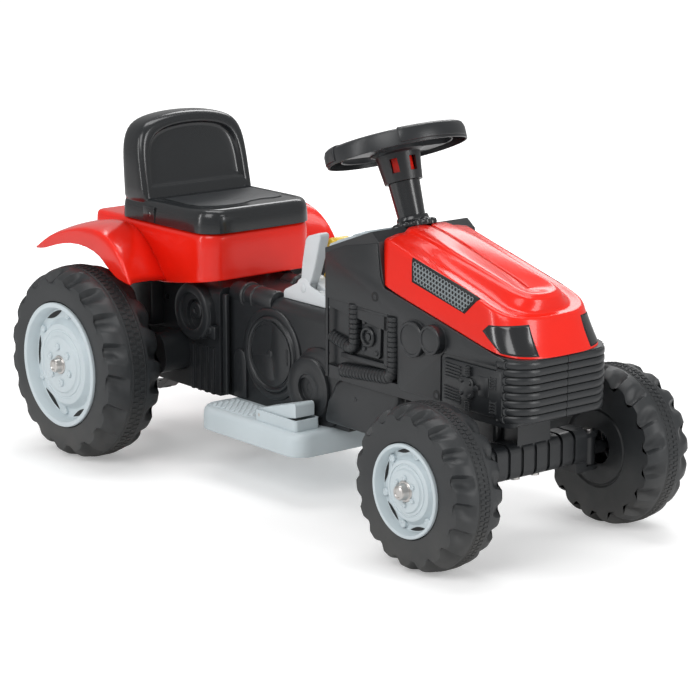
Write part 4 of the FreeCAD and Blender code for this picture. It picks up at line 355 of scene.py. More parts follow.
def slab(outline, depth, edge, segments=2):
    """Flat outline pushed along a vector into a solid, with rounded edges."""
    bm = bmesh.new()
    face = bm.faces.new([bm.verts.new(p) for p in outline])
    grown = bmesh.ops.extrude_face_region(bm, geom=[face])["geom"]
    bmesh.ops.translate(bm, verts=[g for g in grown if isinstance(g, bmesh.types.BMVert)], vec=depth)
    outwards(bm)
    rounded(bm, edge, segments)
    return bm


def rod(bm, start, end, radius, steps):
    """Round bar between two points."""
    run = end - start
    place = Matrix.Translation((start + end) / 2) @ run.to_track_quat("Z", "Y").to_matrix().to_4x4()
    bmesh.ops.create_cone(bm, cap_ends=True, segments=steps, radius1=radius, radius2=radius,
                          depth=run.length, matrix=place)


def block(bm, low, high):
    """Box between two corners."""
    size = Vector(high) - Vector(low)
    place = Matrix.Translation((Vector(low) + Vector(high)) / 2) @ Matrix.Diagonal((*size, 1))
    return bmesh.ops.create_cube(bm, size=1, matrix=place)["verts"]


def rounded(bm, width, segments=2):
    """Rounds every sharp edge."""
    sharp = [e for e in bm.edges if len(e.link_faces) == 2 and e.calc_face_angle(0) > SHARP]
    bmesh.ops.bevel(bm, geom=sharp, offset=width, segments=segments, profile=0.5, affect="EDGES",
                    material=-1, clamp_overlap=True)


def piece(name, bm, body, slot, replaces=(), key=None, smooth=40, levels=0, wall=0.0, edge=0.0):
    """Finished piece in metres, riding on its body, with its slot's look or another one."""
    bmesh.ops.scale(bm, vec=(MM, MM, MM), verts=bm.verts)
    mesh = bpy.data.meshes.new(name)
    bm.to_mesh(mesh)
    bm.free()
    mesh.materials.append(look(key or slot))
    obj = bpy.data.objects.new(name, mesh)
    bpy.context.scene.collection.objects.link(obj)
    if levels:
        soft = obj.modifiers.new("soft", "SUBSURF")
        soft.levels = soft.render_levels = levels
    if wall:
        shell = obj.modifiers.new("wall", "SOLIDIFY")
        shell.thickness, shell.offset = wall, -1
    if edge:
        bevel = obj.modifiers.new("edge", "BEVEL")
        bevel.width, bevel.segments, bevel.limit_method = edge, 2, "ANGLE"
    mesh.shade_smooth()
    mesh.set_sharp_from_angle(angle=math.radians(smooth))
    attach(obj, body)
    if replaces:
        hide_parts(*replaces)
    return obj


def skin(obj):
    """Outer face of a piece, without its wall, in millimetres."""
    if "wall" in obj.modifiers:
        obj.modifiers["wall"].show_viewport = False
    bm = bmesh.new()
    bm.from_object(obj, bpy.context.evaluated_depsgraph_get())
    bmesh.ops.scale(bm, vec=(1 / MM, 1 / MM, 1 / MM), verts=bm.verts)
    if "wall" in obj.modifiers:
        obj.modifiers["wall"].show_viewport = True
    return bm


def trimmed(bm, planes):
    """Keeps what lies on the inner side of each plane, given as a point and an outward direction."""
    for point, outward in planes:
        geom = bm.verts[:] + bm.edges[:] + bm.faces[:]
        bmesh.ops.bisect_plane(bm, geom=geom, plane_co=point, plane_no=outward, clear_outer=True)


def joined(parts):
    """One mesh from several."""
    whole = bmesh.new()
    for bm in parts:
        mesh = bpy.data.meshes.new("part")
        bm.to_mesh(mesh)
        bm.free()
        whole.from_mesh(mesh)
        bpy.data.meshes.remove(mesh)
    return whole


def capped(bm, edges):
    """Closes a ring of edges with a face."""
    bmesh.ops.holes_fill(bm, edges=edges, sides=0)


def sealed(bm):
    """Closes every open end, with its faces outwards."""
    capped(bm, [e for e in bm.edges if e.is_boundary])
    outwards(bm)


# Wheels: axle, track, half width, half width of the band, radius of the rim, radius of the hole in the
# tyre's web, angle of the rim's first boss, depth of its dish and how far its hub stands out

WHEELS = {
    "rear": {"x": REAR_X, "track": 204.0, "half": 46.0, "band": 13.0, "rim": 95.0, "eye": 38.0,
             "turn": 25.0, "sink": 19.0, "hub": -0.3},
    "front": {"x": FRONT_X, "track": 172.0, "half": 39.0, "band": 10.0, "rim": 63.5, "eye": 24.0,
              "turn": 15.0, "sink": 15.0, "hub": 1.0},
}
REAR_TYRE = 147.0
LUG_STEPS = 20
LUG_LEAN = 0.22
SLOPE_START, SLOPE_RUN, STEP_RUN = 0.30, 0.50, 0.11
VALLEY_START, VALLEY_RUN = 0.10, 0.45
SHOULDER_ROWS = 9
CROWN_SHARE, EDGE_SHARE = 0.988, 0.91


def wheel_place(place, side):
    """A wheel's measures, its outward sign, its tyre's radius and its centre."""
    wheel, outward = WHEELS[place], SIDES[side]
    radius = getattr(sizes(), place + "_tyre") / MM
    return wheel, outward, radius, Vector((wheel["x"], wheel["track"] * outward, radius))


def notch(phase):
    """Depth of the valley, 0 to 1, at a phase within one lug's pitch: a slow slope and a steep step."""
    phase %= 1.0
    slope = max(0.0, (phase - SLOPE_START) / SLOPE_RUN)
    return min(1.0, slope * slope * (3 - 2 * min(1.0, slope)), (1.0 - phase) / STEP_RUN)


def shoulder(radius, half, band, side):
    """Points from the band's edge to the sidewall, as (radius, outward)."""
    points = []
    for k in range(SHOULDER_ROWS + 1):
        share = k / SHOULDER_ROWS
        drop = (CROWN_SHARE - EDGE_SHARE) * share ** 2.4
        points.append((radius * (CROWN_SHARE - drop), side * (band + 1 + (half * 0.965 - band - 1) * share)))
    return points


def tyre_profile(radius, wheel):
    """Closed outline of a tyre from the outer bead to its inner web, as (radius, outward)."""
    half, band, seat_r, eye = (wheel[key] for key in ("half", "band", "rim", "eye"))
    edge = radius * EDGE_SHARE
    middle = (seat_r + edge) / 2
    outer = [(seat_r, half * 0.94), (seat_r + 2, half), (middle, half + 1.0), (edge - 9, half + 0.6),
             (edge - 1.6, half)]
    inner = [(edge - 1.6, -half), (edge - 9, -half), (middle, -half), (seat_r * 0.9, -half)]
    groove = [(seat_r * 0.87, -half + 3), (seat_r * 0.84, -half + 3.6), (seat_r * 0.81, -half + 1.6)]
    web = [(eye + 4, -half + 2.6), (eye, -half + 4), (eye, -half + 7), (seat_r * 0.7, -half + 9),
           (seat_r * 0.7, half * 0.2), (seat_r * 0.9, half * 0.3)]
    crown = shoulder(radius, half, band, 1)[::-1] + shoulder(radius, half, band, -1)
    return outer + crown + inner + groove + web


def cut_lugs(bm, centre, outward, radius, wheel):
    """Sinks the valleys between the lugs into a turned tyre, with rows that lean along the lugs."""
    depth, count = sizes().lug_depth / MM * radius / REAR_TYRE, sizes().lugs
    edge = wheel["band"] + 1
    for vert in bm.verts:
        flat = Vector((vert.co.x - centre.x, 0, vert.co.z - centre.z))
        across = (vert.co.y - centre.y) * outward
        reach = (abs(across) - edge) / (wheel["half"] - edge)
        if flat.length < radius * EDGE_SHARE - 4 or reach <= 0:
            continue
        side = 1 if across > 0 else -1
        turn = math.atan2(flat.z, flat.x)
        share = min(1.0, max(0.0, (reach - VALLEY_START) / VALLEY_RUN))
        sink = depth * share * notch(turn / TURN * count * side + (0.5 if side < 0 else 0))
        lean = turn + side * LUG_LEAN * reach * TURN / count
        spoke = flat.length - sink
        vert.co.x = centre.x + spoke * math.cos(lean)
        vert.co.z = centre.z + spoke * math.sin(lean)


def tyre(place, side):
    """Blow moulded tyre with twisted lugs on both shoulders."""
    wheel, outward, radius, centre = wheel_place(place, side)
    profile, steps = tyre_profile(radius, wheel), sizes().lugs * LUG_STEPS
    bm = turned(profile, centre, Vector((0, outward, 0)), steps, closed=True)
    cut_lugs(bm, centre, outward, radius, wheel)
    outwards(bm)
    name = f"{place}_tyre_{side}"
    piece(f"dressed_{name}", bm, f"{place}_wheel_{side}", "tyre_plastic", [name], smooth=24)


KNURL_RISE, KNURL_SPAN = 1.3, 0.72
BAND_MIDDLE = 0.1


def tread_band(place, side):
    """Narrow rubber band with rows of knurls."""
    wheel, outward, radius, centre = wheel_place(place, side)
    half, teeth = wheel["band"], sizes().band_teeth * 2
    lip = [(radius * 0.975, half), (radius - 1.2, half), (radius - 0.4, half * 0.82),
           (radius - 1.4, half * 0.74), (radius - 1.4, half * BAND_MIDDLE)]
    profile = lip + [(r, -along) for r, along in reversed(lip)]
    bm = turned(profile, centre, Vector((0, outward, 0)), teeth, closed=True)
    knurls = []
    for face in bm.faces:
        spot = face.calc_center_median() - centre
        if abs(spot.y) >= half * KNURL_SPAN or spot.length <= radius - 2.4:
            continue
        tooth = math.floor((math.atan2(spot.z, spot.x) / TURN + 1) * teeth + 0.01)
        row = 0 if spot.y > half * BAND_MIDDLE else 1 if spot.y > -half * BAND_MIDDLE else 2
        if row != 1 and (tooth + row // 2) % 2 == 0:
            knurls.append(face)
    for face in bmesh.ops.extrude_discrete_faces(bm, faces=knurls)["faces"]:
        push = face.calc_center_median() - centre
        push.y = 0
        bmesh.ops.translate(bm, verts=face.verts, vec=push.normalized() * KNURL_RISE)
    bmesh.ops.remove_doubles(bm, verts=bm.verts, dist=0.01)
    name = f"{place}_band_{side}"
    piece(f"dressed_{name}", bm, f"{place}_wheel_{side}", "band_rubber", [name], smooth=25)


def all_wheels(maker):
    """Makes one piece for each of the four wheels."""
    for place in WHEELS:
        for side in SIDES:
            maker(place, side)


# Hood: rows of (share, inset, lift) up to the crease, then rows of (inset, lift) over the raised middle

HOOD_PLAN = [(194, 86), (230, 86), (270, 86), (320, 86), (368, 86), (408, 87), (438, 86), (459, 76),
             (471, 58), (476, 36), (477, 18), (477, 0)]
HOOD_ROWS = [(0, 0), (0.03, 0), (0.45, 3.2), (0.84, 6.6), (0.94, 8.4), (0.985, 12), (1.0, 17),
             (1.0, 24, 1.0), (1.0, 33, 3.2)]
HOOD_REAR, HOOD_LENGTH, HOOD_HALF = 194, 283, 86
NOSE_LEAN, NOSE_SPAN = 18.0, (400, 459)
REAR_CUT, REAR_CUT_X, REAR_CUT_Z, REAR_CUT_RUN = 12, 214, 356, 20
BULGE_PLAN = [(194, 40), (230, 40), (270, 40), (320, 39), (368, 38), (396, 37.5), (412, 37), (425, 35),
              (435, 30), (441, 22), (444, 11), (445, 0)]
BULGE_ROWS = [(-3, 0.2), (0, 1.4), (3.5, 5.6), (7.5, 6.9), (22, 7.4), (39.9, 7.6)]
BULGE_LENGTH, BULGE_HALF = 251, 40
BULGE_LEAN, BULGE_SPAN = 7, (390, 445)


def seam_z(x):
    """Height of the seam between hood and body."""
    return 336.8 - (x - 206) * 0.2366 if x < 430 else 283.8 - (x - 430) * 0.1


def crease_z(x):
    """Height of the crease along the hood's top edge."""
    return 369.5 - 0.262 * (x - 322)


def bulge_z(x):
    """Height of the foot of the raised middle."""
    return 384.0 - 0.25 * (x - 300) - max(0.0, 235 - x) * 0.12


def inset_plan(x, y, inset, length, half):
    """Point of the hood's plan drawn in from its edge."""
    return HOOD_REAR + (x - HOOD_REAR) * (1 - inset / length), y * (1 - inset / half)


def nose_share(x, start, end):
    """Smooth step along the hood, 0 behind the nose and 1 on it."""
    t = min(1.0, max(0.0, (x - start) / (end - start)))
    return t * t * (3 - 2 * t)


def hood_row(share, inset, lift=0.0):
    """Row round the hood from its seam, share 0, to its crease, share 1; the nose leans back."""
    row = []
    lean = NOSE_LEAN * min(1.0, 1.45 * share) * (1 - max(0.0, inset) / 40)
    for x, y in HOOD_PLAN:
        px, py = inset_plan(x, y, inset, HOOD_LENGTH, HOOD_HALF)
        px -= lean * nose_share(x, *NOSE_SPAN)
        low, high = seam_z(x), crease_z(x)
        z = low + (high - low) * share + lift
        rear = max(0.0, (REAR_CUT_X - px) / REAR_CUT_RUN) * max(0.0, (REAR_CUT_Z - z) / REAR_CUT_RUN)
        row.append((px + REAR_CUT * min(1.0, rear), py, z))
    return row


def bulge_row(inset, lift):
    """Row round the raised middle of the hood."""
    row = []
    for x, y in BULGE_PLAN:
        px, py = inset_plan(x, y, inset, BULGE_LENGTH, BULGE_HALF)
        row.append((px - BULGE_LEAN * nose_share(x, *BULGE_SPAN), py, bulge_z(x) + lift))
    return row


def both_sides(half):
    """Row of the right half, carried on round to the left."""
    right = [Vector((x, -y, z)) for x, y, z in half]
    return right + [Vector((x, y, z)) for x, y, z in reversed(half[:-1])]


def hood():
    """Moulded hood: flat sides, crease, raised middle and rounded nose."""
    rows = [hood_row(*row) for row in HOOD_ROWS] + [bulge_row(*row) for row in BULGE_ROWS]
    bm = bmesh.new()
    bridged(bm, [both_sides(row) for row in rows])
    clean(bm)
    return piece("dressed_hood", bm, "chassis", "red_plastic", ["hood"], smooth=60, levels=2,
                 wall=sizes().hood_wall)


# Lamps and vents are cut from the hood's own surface.

LAMP_OUTLINE = [(405, 310), (413, 317.5), (495, 322), (495, 281), (438, 287)]
LAMP_INNER = 48.0
LAMP_WALL = 0.0016
# The first layer is a thin rim of painted shade round each lamp.
LAMP_LAYERS = [("lamp_bezels", 1.6, 0.15, (), "dark_well", 0.0),
               ("dressed_lamps", 0.0, 0.8, ["headlights"], None, 0.0004)]
VENT_OUTLINE = [(254, 382.6), (386, 348.6), (365, 327.5), (259, 353)]
VENT_SLOPE = math.atan2(348.6 - 382.6, 386 - 254)
VENT_MIDDLE = Vector((326, 0, 353.5))
VENT_INNER = 75
COMB_ROWS, COMB_STEPS = 6, 14
COMB_LIFT, COMB_WALL, COMB_MARGIN = 1.3, 1.0, 0.30
COMB_OUTER, COMB_INNER, COMB_PITCH = 0.58, 0.40, 0.87
RAY_FROM = 200


def outline_planes(outline, grow):
    """Planes along Y through the sides of an outline of (x, z) points, moved out by grow."""
    middle = sum((Vector(p) for p in outline), Vector((0, 0))) / len(outline)
    planes = []
    for a, b in zip(outline, outline[1:] + outline[:1]):
        a, b = Vector(a), Vector(b)
        outward = Vector((b.y - a.y, a.x - b.x)).normalized()
        if outward.dot(a - middle) < 0:
            outward = -outward
        at = a + outward * grow
        planes.append((Vector((at.x, 0, at.y)), Vector((outward.x, 0, outward.y))))
    return planes


def cut_from(source, outline, side, inner, grow, lift):
    """Patch of a surface inside an outline, beyond a distance from the middle, lifted off it."""
    bm = skin(source)
    planes = outline_planes(outline, grow)
    planes.append((Vector((0, side * (inner - grow), 0)), Vector((0, -side, 0))))
    trimmed(bm, planes)
    bm.normal_update()
    for vert in bm.verts:
        vert.co += vert.normal * lift
    return bm


def lamps(source):
    """Dark corner lamps, each ringed by a thin rim of painted shade."""
    for name, grow, lift, replaces, key, edge in LAMP_LAYERS:
        bm = joined([cut_from(source, LAMP_OUTLINE, side, LAMP_INNER, grow, lift)
                     for side in SIDES.values()])
        piece(name, bm, "chassis", "lamp_plastic", replaces, key, smooth=60, wall=LAMP_WALL, edge=edge)


def inside(point, planes, margin):
    """True where a point lies inside the planes by a margin."""
    return all((point - at).dot(outward) < -margin for at, outward in planes)


def comb_cell(bm, middle, size):
    """One six-sided cell of the vent: a ring with a short inner wall, in the XZ plane."""
    place = Matrix.Translation(middle) @ Matrix.Rotation(math.pi / 2, 4, "X")
    rings = []
    for radius in (size * COMB_OUTER, size * COMB_INNER):
        verts = bmesh.ops.create_circle(bm, segments=6, radius=radius, matrix=place)["verts"]
        rings.append(list({e for v in verts for e in v.link_edges}))
    bmesh.ops.bridge_loops(bm, edges=rings[0] + rings[1])
    wall = bmesh.ops.extrude_edge_only(bm, edges=rings[1])["geom"]
    deep = [g for g in wall if isinstance(g, bmesh.types.BMVert)]
    bmesh.ops.translate(bm, verts=deep, vec=(0, COMB_WALL, 0))


def comb(source, side):
    """Honeycomb of one vent, laid on the hood's side."""
    cell = sizes().vent_cell / MM
    planes = outline_planes(VENT_OUTLINE, 0)
    along = Vector((math.cos(VENT_SLOPE), 0, math.sin(VENT_SLOPE)))
    up = Vector((-along.z, 0, along.x))
    bm = bmesh.new()
    for row in range(-COMB_ROWS, COMB_ROWS + 1):
        for step in range(-COMB_STEPS, COMB_STEPS + 1):
            spot = VENT_MIDDLE + along * cell * (step + 0.5 * (row % 2)) + up * cell * COMB_PITCH * row
            if inside(spot, planes, cell * COMB_MARGIN):
                comb_cell(bm, spot, cell)
    surface = skin(source)
    tree = BVHTree.FromBMesh(surface)
    for vert in bm.verts:
        hit = tree.ray_cast(Vector((vert.co.x, side * RAY_FROM, vert.co.z)), Vector((0, -side, 0)))[0]
        vert.co.y = hit.y + side * (COMB_LIFT - vert.co.y)
    surface.free()
    outwards(bm)
    return bm


def vents(source):
    """Side vents: a plate of painted shade with a pale honeycomb on it."""
    # Near-black sheet behind the honeycomb: painted shade of the hood's inside.
    shade_sheets = joined([cut_from(source, VENT_OUTLINE, side, VENT_INNER, 1.2, 0.3) for side in SIDES.values()])
    piece("vent_plates", shade_sheets, "chassis", "lamp_plastic", key="dark_well", smooth=60, wall=0.001)
    combs = joined([comb(source, side) for side in SIDES.values()])
    piece("dressed_vents", combs, "chassis", "mesh_grey", ["vent_meshes"], smooth=30)


# Seat

def plan_loop(x0, x1, half, front_r, rear_r, z, steps=6):
    """Rounded outline seen from above."""
    corners = [(x1 - front_r, front_r - half, front_r, -90), (x1 - front_r, half - front_r, front_r, 0),
               (x0 + rear_r, half - rear_r, rear_r, 90), (x0 + rear_r, rear_r - half, rear_r, 180)]
    return [Vector((cx + r * math.cos(a), cy + r * math.sin(a), z)) for cx, cy, r, start in corners
            for a in (math.radians(start + 90 * k / steps) for k in range(steps + 1))]


def inset_loop(x0, x1, half, front_r, rear_r, z, inset):
    """Rounded outline drawn in by an inset."""
    return plan_loop(x0 + inset, x1 - inset, half - inset, max(front_r - inset, 3),
                     max(rear_r - inset, 3), z)


SEAT_PLAN = (-413, -181, 104, 38, 22)
SEAT_STEPS = [(353.3, 0.0), (356, 0.0), (372, 0.6), (381, 2.4), (386, 6.0), (388.2, 11.0), (388.6, 16.0),
              (387.6, 17.6), (386.9, 19.5), (387.4, 30)]
SEAT_PANEL = [(-322, -80), (-262, -82), (-236, -76), (-222, -56), (-217, -30), (-219, -8), (-228, 12),
              (-232, 34), (-228, 56), (-232, 74), (-246, 84), (-322, 82)]
SEAT_PANEL_Z, SEAT_PANEL_RISE = 386.6, 1.9
BACK_OUTLINE = [(104, 392), (103.5, 412), (103, 434), (102, 456), (99, 474), (92, 489), (80, 499),
                (62, 505), (40, 508.5), (20, 510), (0, 510.5)]
BACK_STEPS = [(16, -61, 360), (8, -61, 359), (2, -58.5, 358), (0, -52, 357), (0, -11, 357),
              (1.2, -4.5, 357), (5, -0.6, 360), (9, 0.4, 384), (15, 0, 399), (17, -1.2, 402),
              (18.5, -5.6, 405), (21.5, -7.2, 408), (42, -7.6, 419)]
BACK_HALF = 104
BACK_X, BACK_FOOT = -339, 370
BACK_LEAN, BACK_REAR_SHARE, BACK_REAR_FROM = 0.203, 0.45, -12


def back_row(inset, forward, foot):
    """Row round the backrest, drawn in by an inset and set forward of its face."""
    right = [(y * (1 - inset / BACK_HALF), max(foot + 4 * k, z - inset))
             for k, (y, z) in enumerate(BACK_OUTLINE)]
    right = [(right[0][0], foot)] + right
    row = right + [(-y, z) for y, z in reversed(right[:-1])]
    share = 1 if forward > BACK_REAR_FROM else BACK_REAR_SHARE
    return [Vector((BACK_X - BACK_LEAN * (z - BACK_FOOT) * share + forward, -y, z)) for y, z in row]


def seat():
    """Moulded seat: drafted base with a rolled edge, and a backrest with a sunk panel."""
    base = bmesh.new()
    loops = bridged(base, [inset_loop(*SEAT_PLAN, z, inset) for z, inset in SEAT_STEPS], closed=True)
    capped(base, loops[-1])
    back = bmesh.new()
    loops = bridged(back, [back_row(*step) for step in BACK_STEPS], closed=True)
    capped(back, loops[0])
    capped(back, loops[-1])
    bm = joined([base, back])
    outwards(bm)
    piece("dressed_seat", bm, "chassis", "seat_plastic", ["seat"], smooth=50, levels=1)
    bm = slab([Vector((x, y, SEAT_PANEL_Z)) for x, y in SEAT_PANEL], UP * SEAT_PANEL_RISE, 0.8)
    piece("seat_panel", bm, "chassis", "seat_plastic", key="seat_leather")


def seat_tabs():
    """Screw tabs low on the seat's sides."""
    bm = bmesh.new()
    for side in SIDES.values():
        block(bm, (-345, side * 103.6 - 1.6, 354), (-316, side * 103.6 + 1.2, 378))
        rod(bm, Vector((-330.5, side * 103, 366)), Vector((-330.5, side * 105.6, 366)), 4.6, 18)
    rounded(bm, 0.7)
    piece("seat_tabs", bm, "chassis", "seat_plastic")


# Fender

FENDER_PLAN = (-488, -182, 103, 36, 18)
WING_INNER = [(-489, 308), (-478, 323), (-460, 336), (-428, 346), (-394, 347), (-364, 340), (-340, 324),
              (-320, 304), (-303, 285), (-290, 270)]
WING_LIP = [(-498, 303), (-478, 317), (-453, 330), (-406, 344), (-361, 353), (-321, 352), (-292, 340),
            (-270, 323), (-254, 303), (-244, 284)]
WING_ARCH = [(-501, 300), (-479, 302), (-452, 312), (-406, 323), (-361, 323), (-325, 314), (-310, 300),
             (-296, 294), (-283, 285), (-246, 281)]
WING_Y = (102.0, 200.0, 198.0)
WING_AT = Vector((-365, 150, 180))
WING_STOPS = (0, 0.04, 0.12, 0.35, 0.65, 0.88)
WING_CROWN = 5
FENDER_STEPS = [(0.0, -1.0), (0.04, -0.4), (0.5, 0.0), (0.86, 0.8), (0.95, 2.2), (1.0, 6.5), (1.004, 14),
                (1.004, 40)]
FENDER_TOP = 353
SIDE_STOPS = 10


def fender_foot(x):
    """Height of the lower edge of the fender's box: up behind the axle, and a little at the front."""
    return 266 + 36 * min(1.0, max(0.0, (-405 - x) / 50)) + 17 * min(1.0, max(0.0, (x + 292) / 110))


def side_stops(loop):
    """Adds points along the long sides of a loop, so that its lower edge can bend."""
    dense = []
    for here, after in zip(loop, loop[1:] + loop[:1]):
        dense.append(here)
        if abs(after.x - here.x) > 60:
            dense += [here.lerp(after, k / SIDE_STOPS) for k in range(1, SIDE_STOPS)]
    return dense


def fender_box():
    """Box under the seat, open below, with a rolled upper edge."""
    bm = bmesh.new()
    rows = []
    for share, inset in FENDER_STEPS:
        loop = side_stops(inset_loop(*FENDER_PLAN, 0, inset))
        feet = [fender_foot(p.x) for p in loop]
        rows.append([Vector((p.x, p.y, foot + (FENDER_TOP - foot) * share)) for p, foot in zip(loop, feet)])
    loops = bridged(bm, rows, closed=True)
    capped(bm, loops[-1])
    return bm


def wing(side):
    """Broad mudguard over one rear wheel: crowned top, rolled lip, and a skirt that ends in an arch."""
    middle = Vector((WING_AT.x, side * WING_AT.y, WING_AT.z))
    rows = []
    for marks in zip(WING_INNER, WING_LIP, WING_ARCH):
        inner, lip, arch = (Vector((x, side * y, z)) for (x, z), y in zip(marks, WING_Y))
        crown = (lip - Vector((middle.x, lip.y, middle.z))).normalized()
        top = [inner.lerp(lip, t) + crown * WING_CROWN * math.sin(math.pi * t) ** 0.7 for t in WING_STOPS]
        skirt = [lip + Vector((0, -side * 1.0, 0)), lip.lerp(arch, 0.12) + Vector((0, side * 1.6, 0)),
                 lip.lerp(arch, 0.5) + Vector((0, side * 1.0, 0)), lip.lerp(arch, 0.95), arch]
        rows.append(top + skirt)
    bm = bmesh.new()
    bridged(bm, rows)
    outwards(bm)
    if sum((f.normal.dot(f.calc_center_median() - middle) for f in bm.faces)) < 0:
        bmesh.ops.reverse_faces(bm, faces=bm.faces)
    return bm


def fender():
    """Red fender: the box that carries the seat, and two wings."""
    bm = joined([fender_box()] + [wing(side) for side in SIDES.values()])
    piece("dressed_fender", bm, "chassis", "red_plastic", ["fender"], smooth=45, levels=1,
          wall=SHELL_WALL)


# Steering wheel

# Grips: middle of the arc and half of it, in degrees
GRIPS = [(0, 36), (125, 26), (-125, 26)]
GRIP_STEPS = 18
GRIP_SECTION = [(99, -9), (101.4, -8), (101.4, 4.4), (99.4, 10.2), (95.4, 13), (90, 13.4), (84, 13),
                (80, 11)]
RIM_SECTION = [(98, -12), (100, -11.6), (100, 4), (98.6, 9), (95, 11.6), (90, 12), (84, 11.6), (80, 9.4),
               (78.2, 5), (78, -7), (79.6, -8), (80.6, -6), (80.8, 3), (83, 7.4), (89, 9.2), (94, 8.6),
               (97, 5), (97.6, -4)]


def wheel_point(radius, angle, along):
    """Point of the steering wheel, its angle counted from straight ahead."""
    return (WHEEL_AT + COLUMN_ACROSS * radius * math.cos(angle) + Vector((0, radius * math.sin(angle), 0))
            + COLUMN_UP * along)


def steering_rim():
    """Channel rim, open below, with raised grips."""
    bm = turned(RIM_SECTION, WHEEL_AT, COLUMN_UP, 96, closed=True)
    piece("dressed_steering_rim", bm, "steering", "black_plastic", ["steering_rim"], smooth=35)
    bm = bmesh.new()
    for middle, half in GRIPS:
        turns = [math.radians(middle - half + 2 * half * k / GRIP_STEPS) for k in range(GRIP_STEPS + 1)]
        bridged(bm, [[wheel_point(r, turn, along) for r, along in GRIP_SECTION] for turn in turns])
    outwards(bm)
    piece("steering_grips", bm, "steering", "black_plastic", smooth=35, wall=0.0022, edge=0.0008)


# Body mouldings: drawn on the right side, then mirrored to the left

OUT = Vector((0, -1, 0))
SINK = 1.5
HOSE_STEPS = 16


def mirrored_pair(bm):
    """Adds the left-hand copy of a right-hand moulding."""
    copy = bmesh.ops.duplicate(bm, geom=bm.verts[:] + bm.edges[:] + bm.faces[:])["geom"]
    bmesh.ops.scale(bm, vec=(1, -1, 1), verts=[g for g in copy if isinstance(g, bmesh.types.BMVert)])
    bmesh.ops.reverse_faces(bm, faces=[g for g in copy if isinstance(g, bmesh.types.BMFace)])
    return bm


def disc(x, z, face, profile, steps=48):
    """Round moulding on a side face, from a profile of (radius, rise) points that ends on the axis."""
    return turned([(0, -SINK), (profile[0][0], -SINK)] + profile, Vector((x, -face, z)), OUT, steps)


def panel(outline, face, rise, edge=0.5):
    """Flat moulding on a side face, from an outline of (x, z) points."""
    return slab([Vector((x, SINK - face, z)) for x, z in outline], OUT * (rise + SINK), edge)


def oblong(x0, z0, x1, z1):
    """Outline of an upright rectangle."""
    return [(x0, z0), (x1, z0), (x1, z1), (x0, z1)]


def ring_angles(steps):
    """Angles round a full turn."""
    return [TURN * k / steps for k in range(steps)]


def bent(points, bend, steps=7):
    """Points of a path in an upright plane, with its corners rounded."""
    path = [points[0]]
    for before, corner, after in zip(points, points[1:], points[2:]):
        first = corner + (before - corner).normalized() * bend
        last = corner + (after - corner).normalized() * bend
        for k in range(steps + 1):
            t = k / steps
            path.append(first.lerp(corner, t).lerp(corner.lerp(last, t), t))
    return path + [points[-1]]


def spaced(path, gap):
    """Points along a path at even gaps, with their directions and distances."""
    walked, marks = 0.0, []
    for a, b in zip(path, path[1:]):
        run = b - a
        steps = max(1, round(run.length / gap))
        for k in range(steps):
            marks.append((a + run * k / steps, run.normalized(), walked + run.length * k / steps))
        walked += run.length
    return marks + [(path[-1], (path[-1] - path[-2]).normalized(), walked)]


def hose(points, radius, bend, pitch=7.0, groove=1.6):
    """Corrugated pipe along a bent path in an upright plane."""
    rows = []
    for at, along, walked in spaced(bent(points, bend), pitch / 7):
        side = along.cross(OUT)
        reach = radius - groove * max(0.0, math.cos(TURN * walked / pitch)) ** 6
        rows.append([at + (side * math.cos(a) + OUT * math.sin(a)) * reach for a in ring_angles(HOSE_STEPS)])
    bm = bmesh.new()
    bridged(bm, rows, closed=True)
    sealed(bm)
    return bm


def bar(start, end, radius, steps=14):
    """Round bar as a mesh of its own."""
    bm = bmesh.new()
    rod(bm, Vector(start), Vector(end), radius, steps)
    rounded(bm, radius * 0.25)
    return bm


def body_piece(name, parts, slot="black_plastic", key=None):
    """Mirrored moulding of the body."""
    piece(name, mirrored_pair(joined(parts)), "chassis", slot, key=key, smooth=35)


COWL_FACE, SUMP_FACE, TUNNEL_FACE, HOUSING_FACE = 88.0, 70.0, 62.0, 78.0
WELL, PLATE_RISE = 80.0, 5


def cowl_skins():
    """Flat outer skin of the cowl round the engine bay."""
    outline = [(78.5, 189), (84, 189), (84, 303), (150, 301), (236, 300), (236, 206), (244, 200),
               (326, 200), (326, 262), (332, 268), (440, 268), (452, 279), (430, 283.5), (207, 336),
               (199, 349), (192, 396), (120, 382), (78.5, 366)]
    return [panel(outline, COWL_FACE, 1.6, 0.7)]


def engine_pipes():
    """Two corrugated pipes in the engine bay."""
    y = -84.0
    return [hose([Vector((139, y, 303)), Vector((139, y, 236)), Vector((84, y + 4, 247))], 9.5, 17),
            hose([Vector((224, y, 299)), Vector((224, y, 212)), Vector((112, y, 203))], 10.5, 20)]


def engine_plate():
    """Framed plate with a ring port and four screws between the pipes."""
    outline = [(154, 237), (158, 233), (189, 232), (194, 237), (196, 284), (191, 289), (158, 288),
               (154, 284)]
    ring = [(14.5, 0), (14.5, 4), (13, 5.5), (10.6, 5.5), (9.4, 4), (9.0, 1.0), (5.2, 1.0), (4.8, 3.4),
            (0, 3.6)]
    screw = [(3.4, 0), (3.4, 1.4), (2.4, 2.2), (0, 2.3)]
    spots = ((160, 280), (189, 281), (160, 242), (187, 240))
    bars = [((149, 296, 214, 302), 9.2), ((204, 226, 213, 298), 8), ((110, 221, 212, 229), 7)]
    return ([panel(oblong(*box), WELL, rise, 1.6) for box, rise in bars]
            + [panel(outline, WELL, PLATE_RISE, 1.2), disc(171, 261, WELL + PLATE_RISE, ring)]
            + [disc(x, z, WELL + PLATE_RISE, screw, 18) for x, z in spots])


def sump_bulge():
    """Rounded belly of the engine under the pipes."""
    outline = [(66, 118), (196, 118), (204, 126), (232, 178), (232, 193), (112, 193), (92, 180),
               (74, 150)]
    belly = slab([Vector((x, -SUMP_FACE + 4, z)) for x, z in outline], OUT * 18, 7.0, 4)
    return [belly, disc(139, 165, SUMP_FACE + 14, [(3, 0), (2.6, 1), (0, 1.4)], 16)]


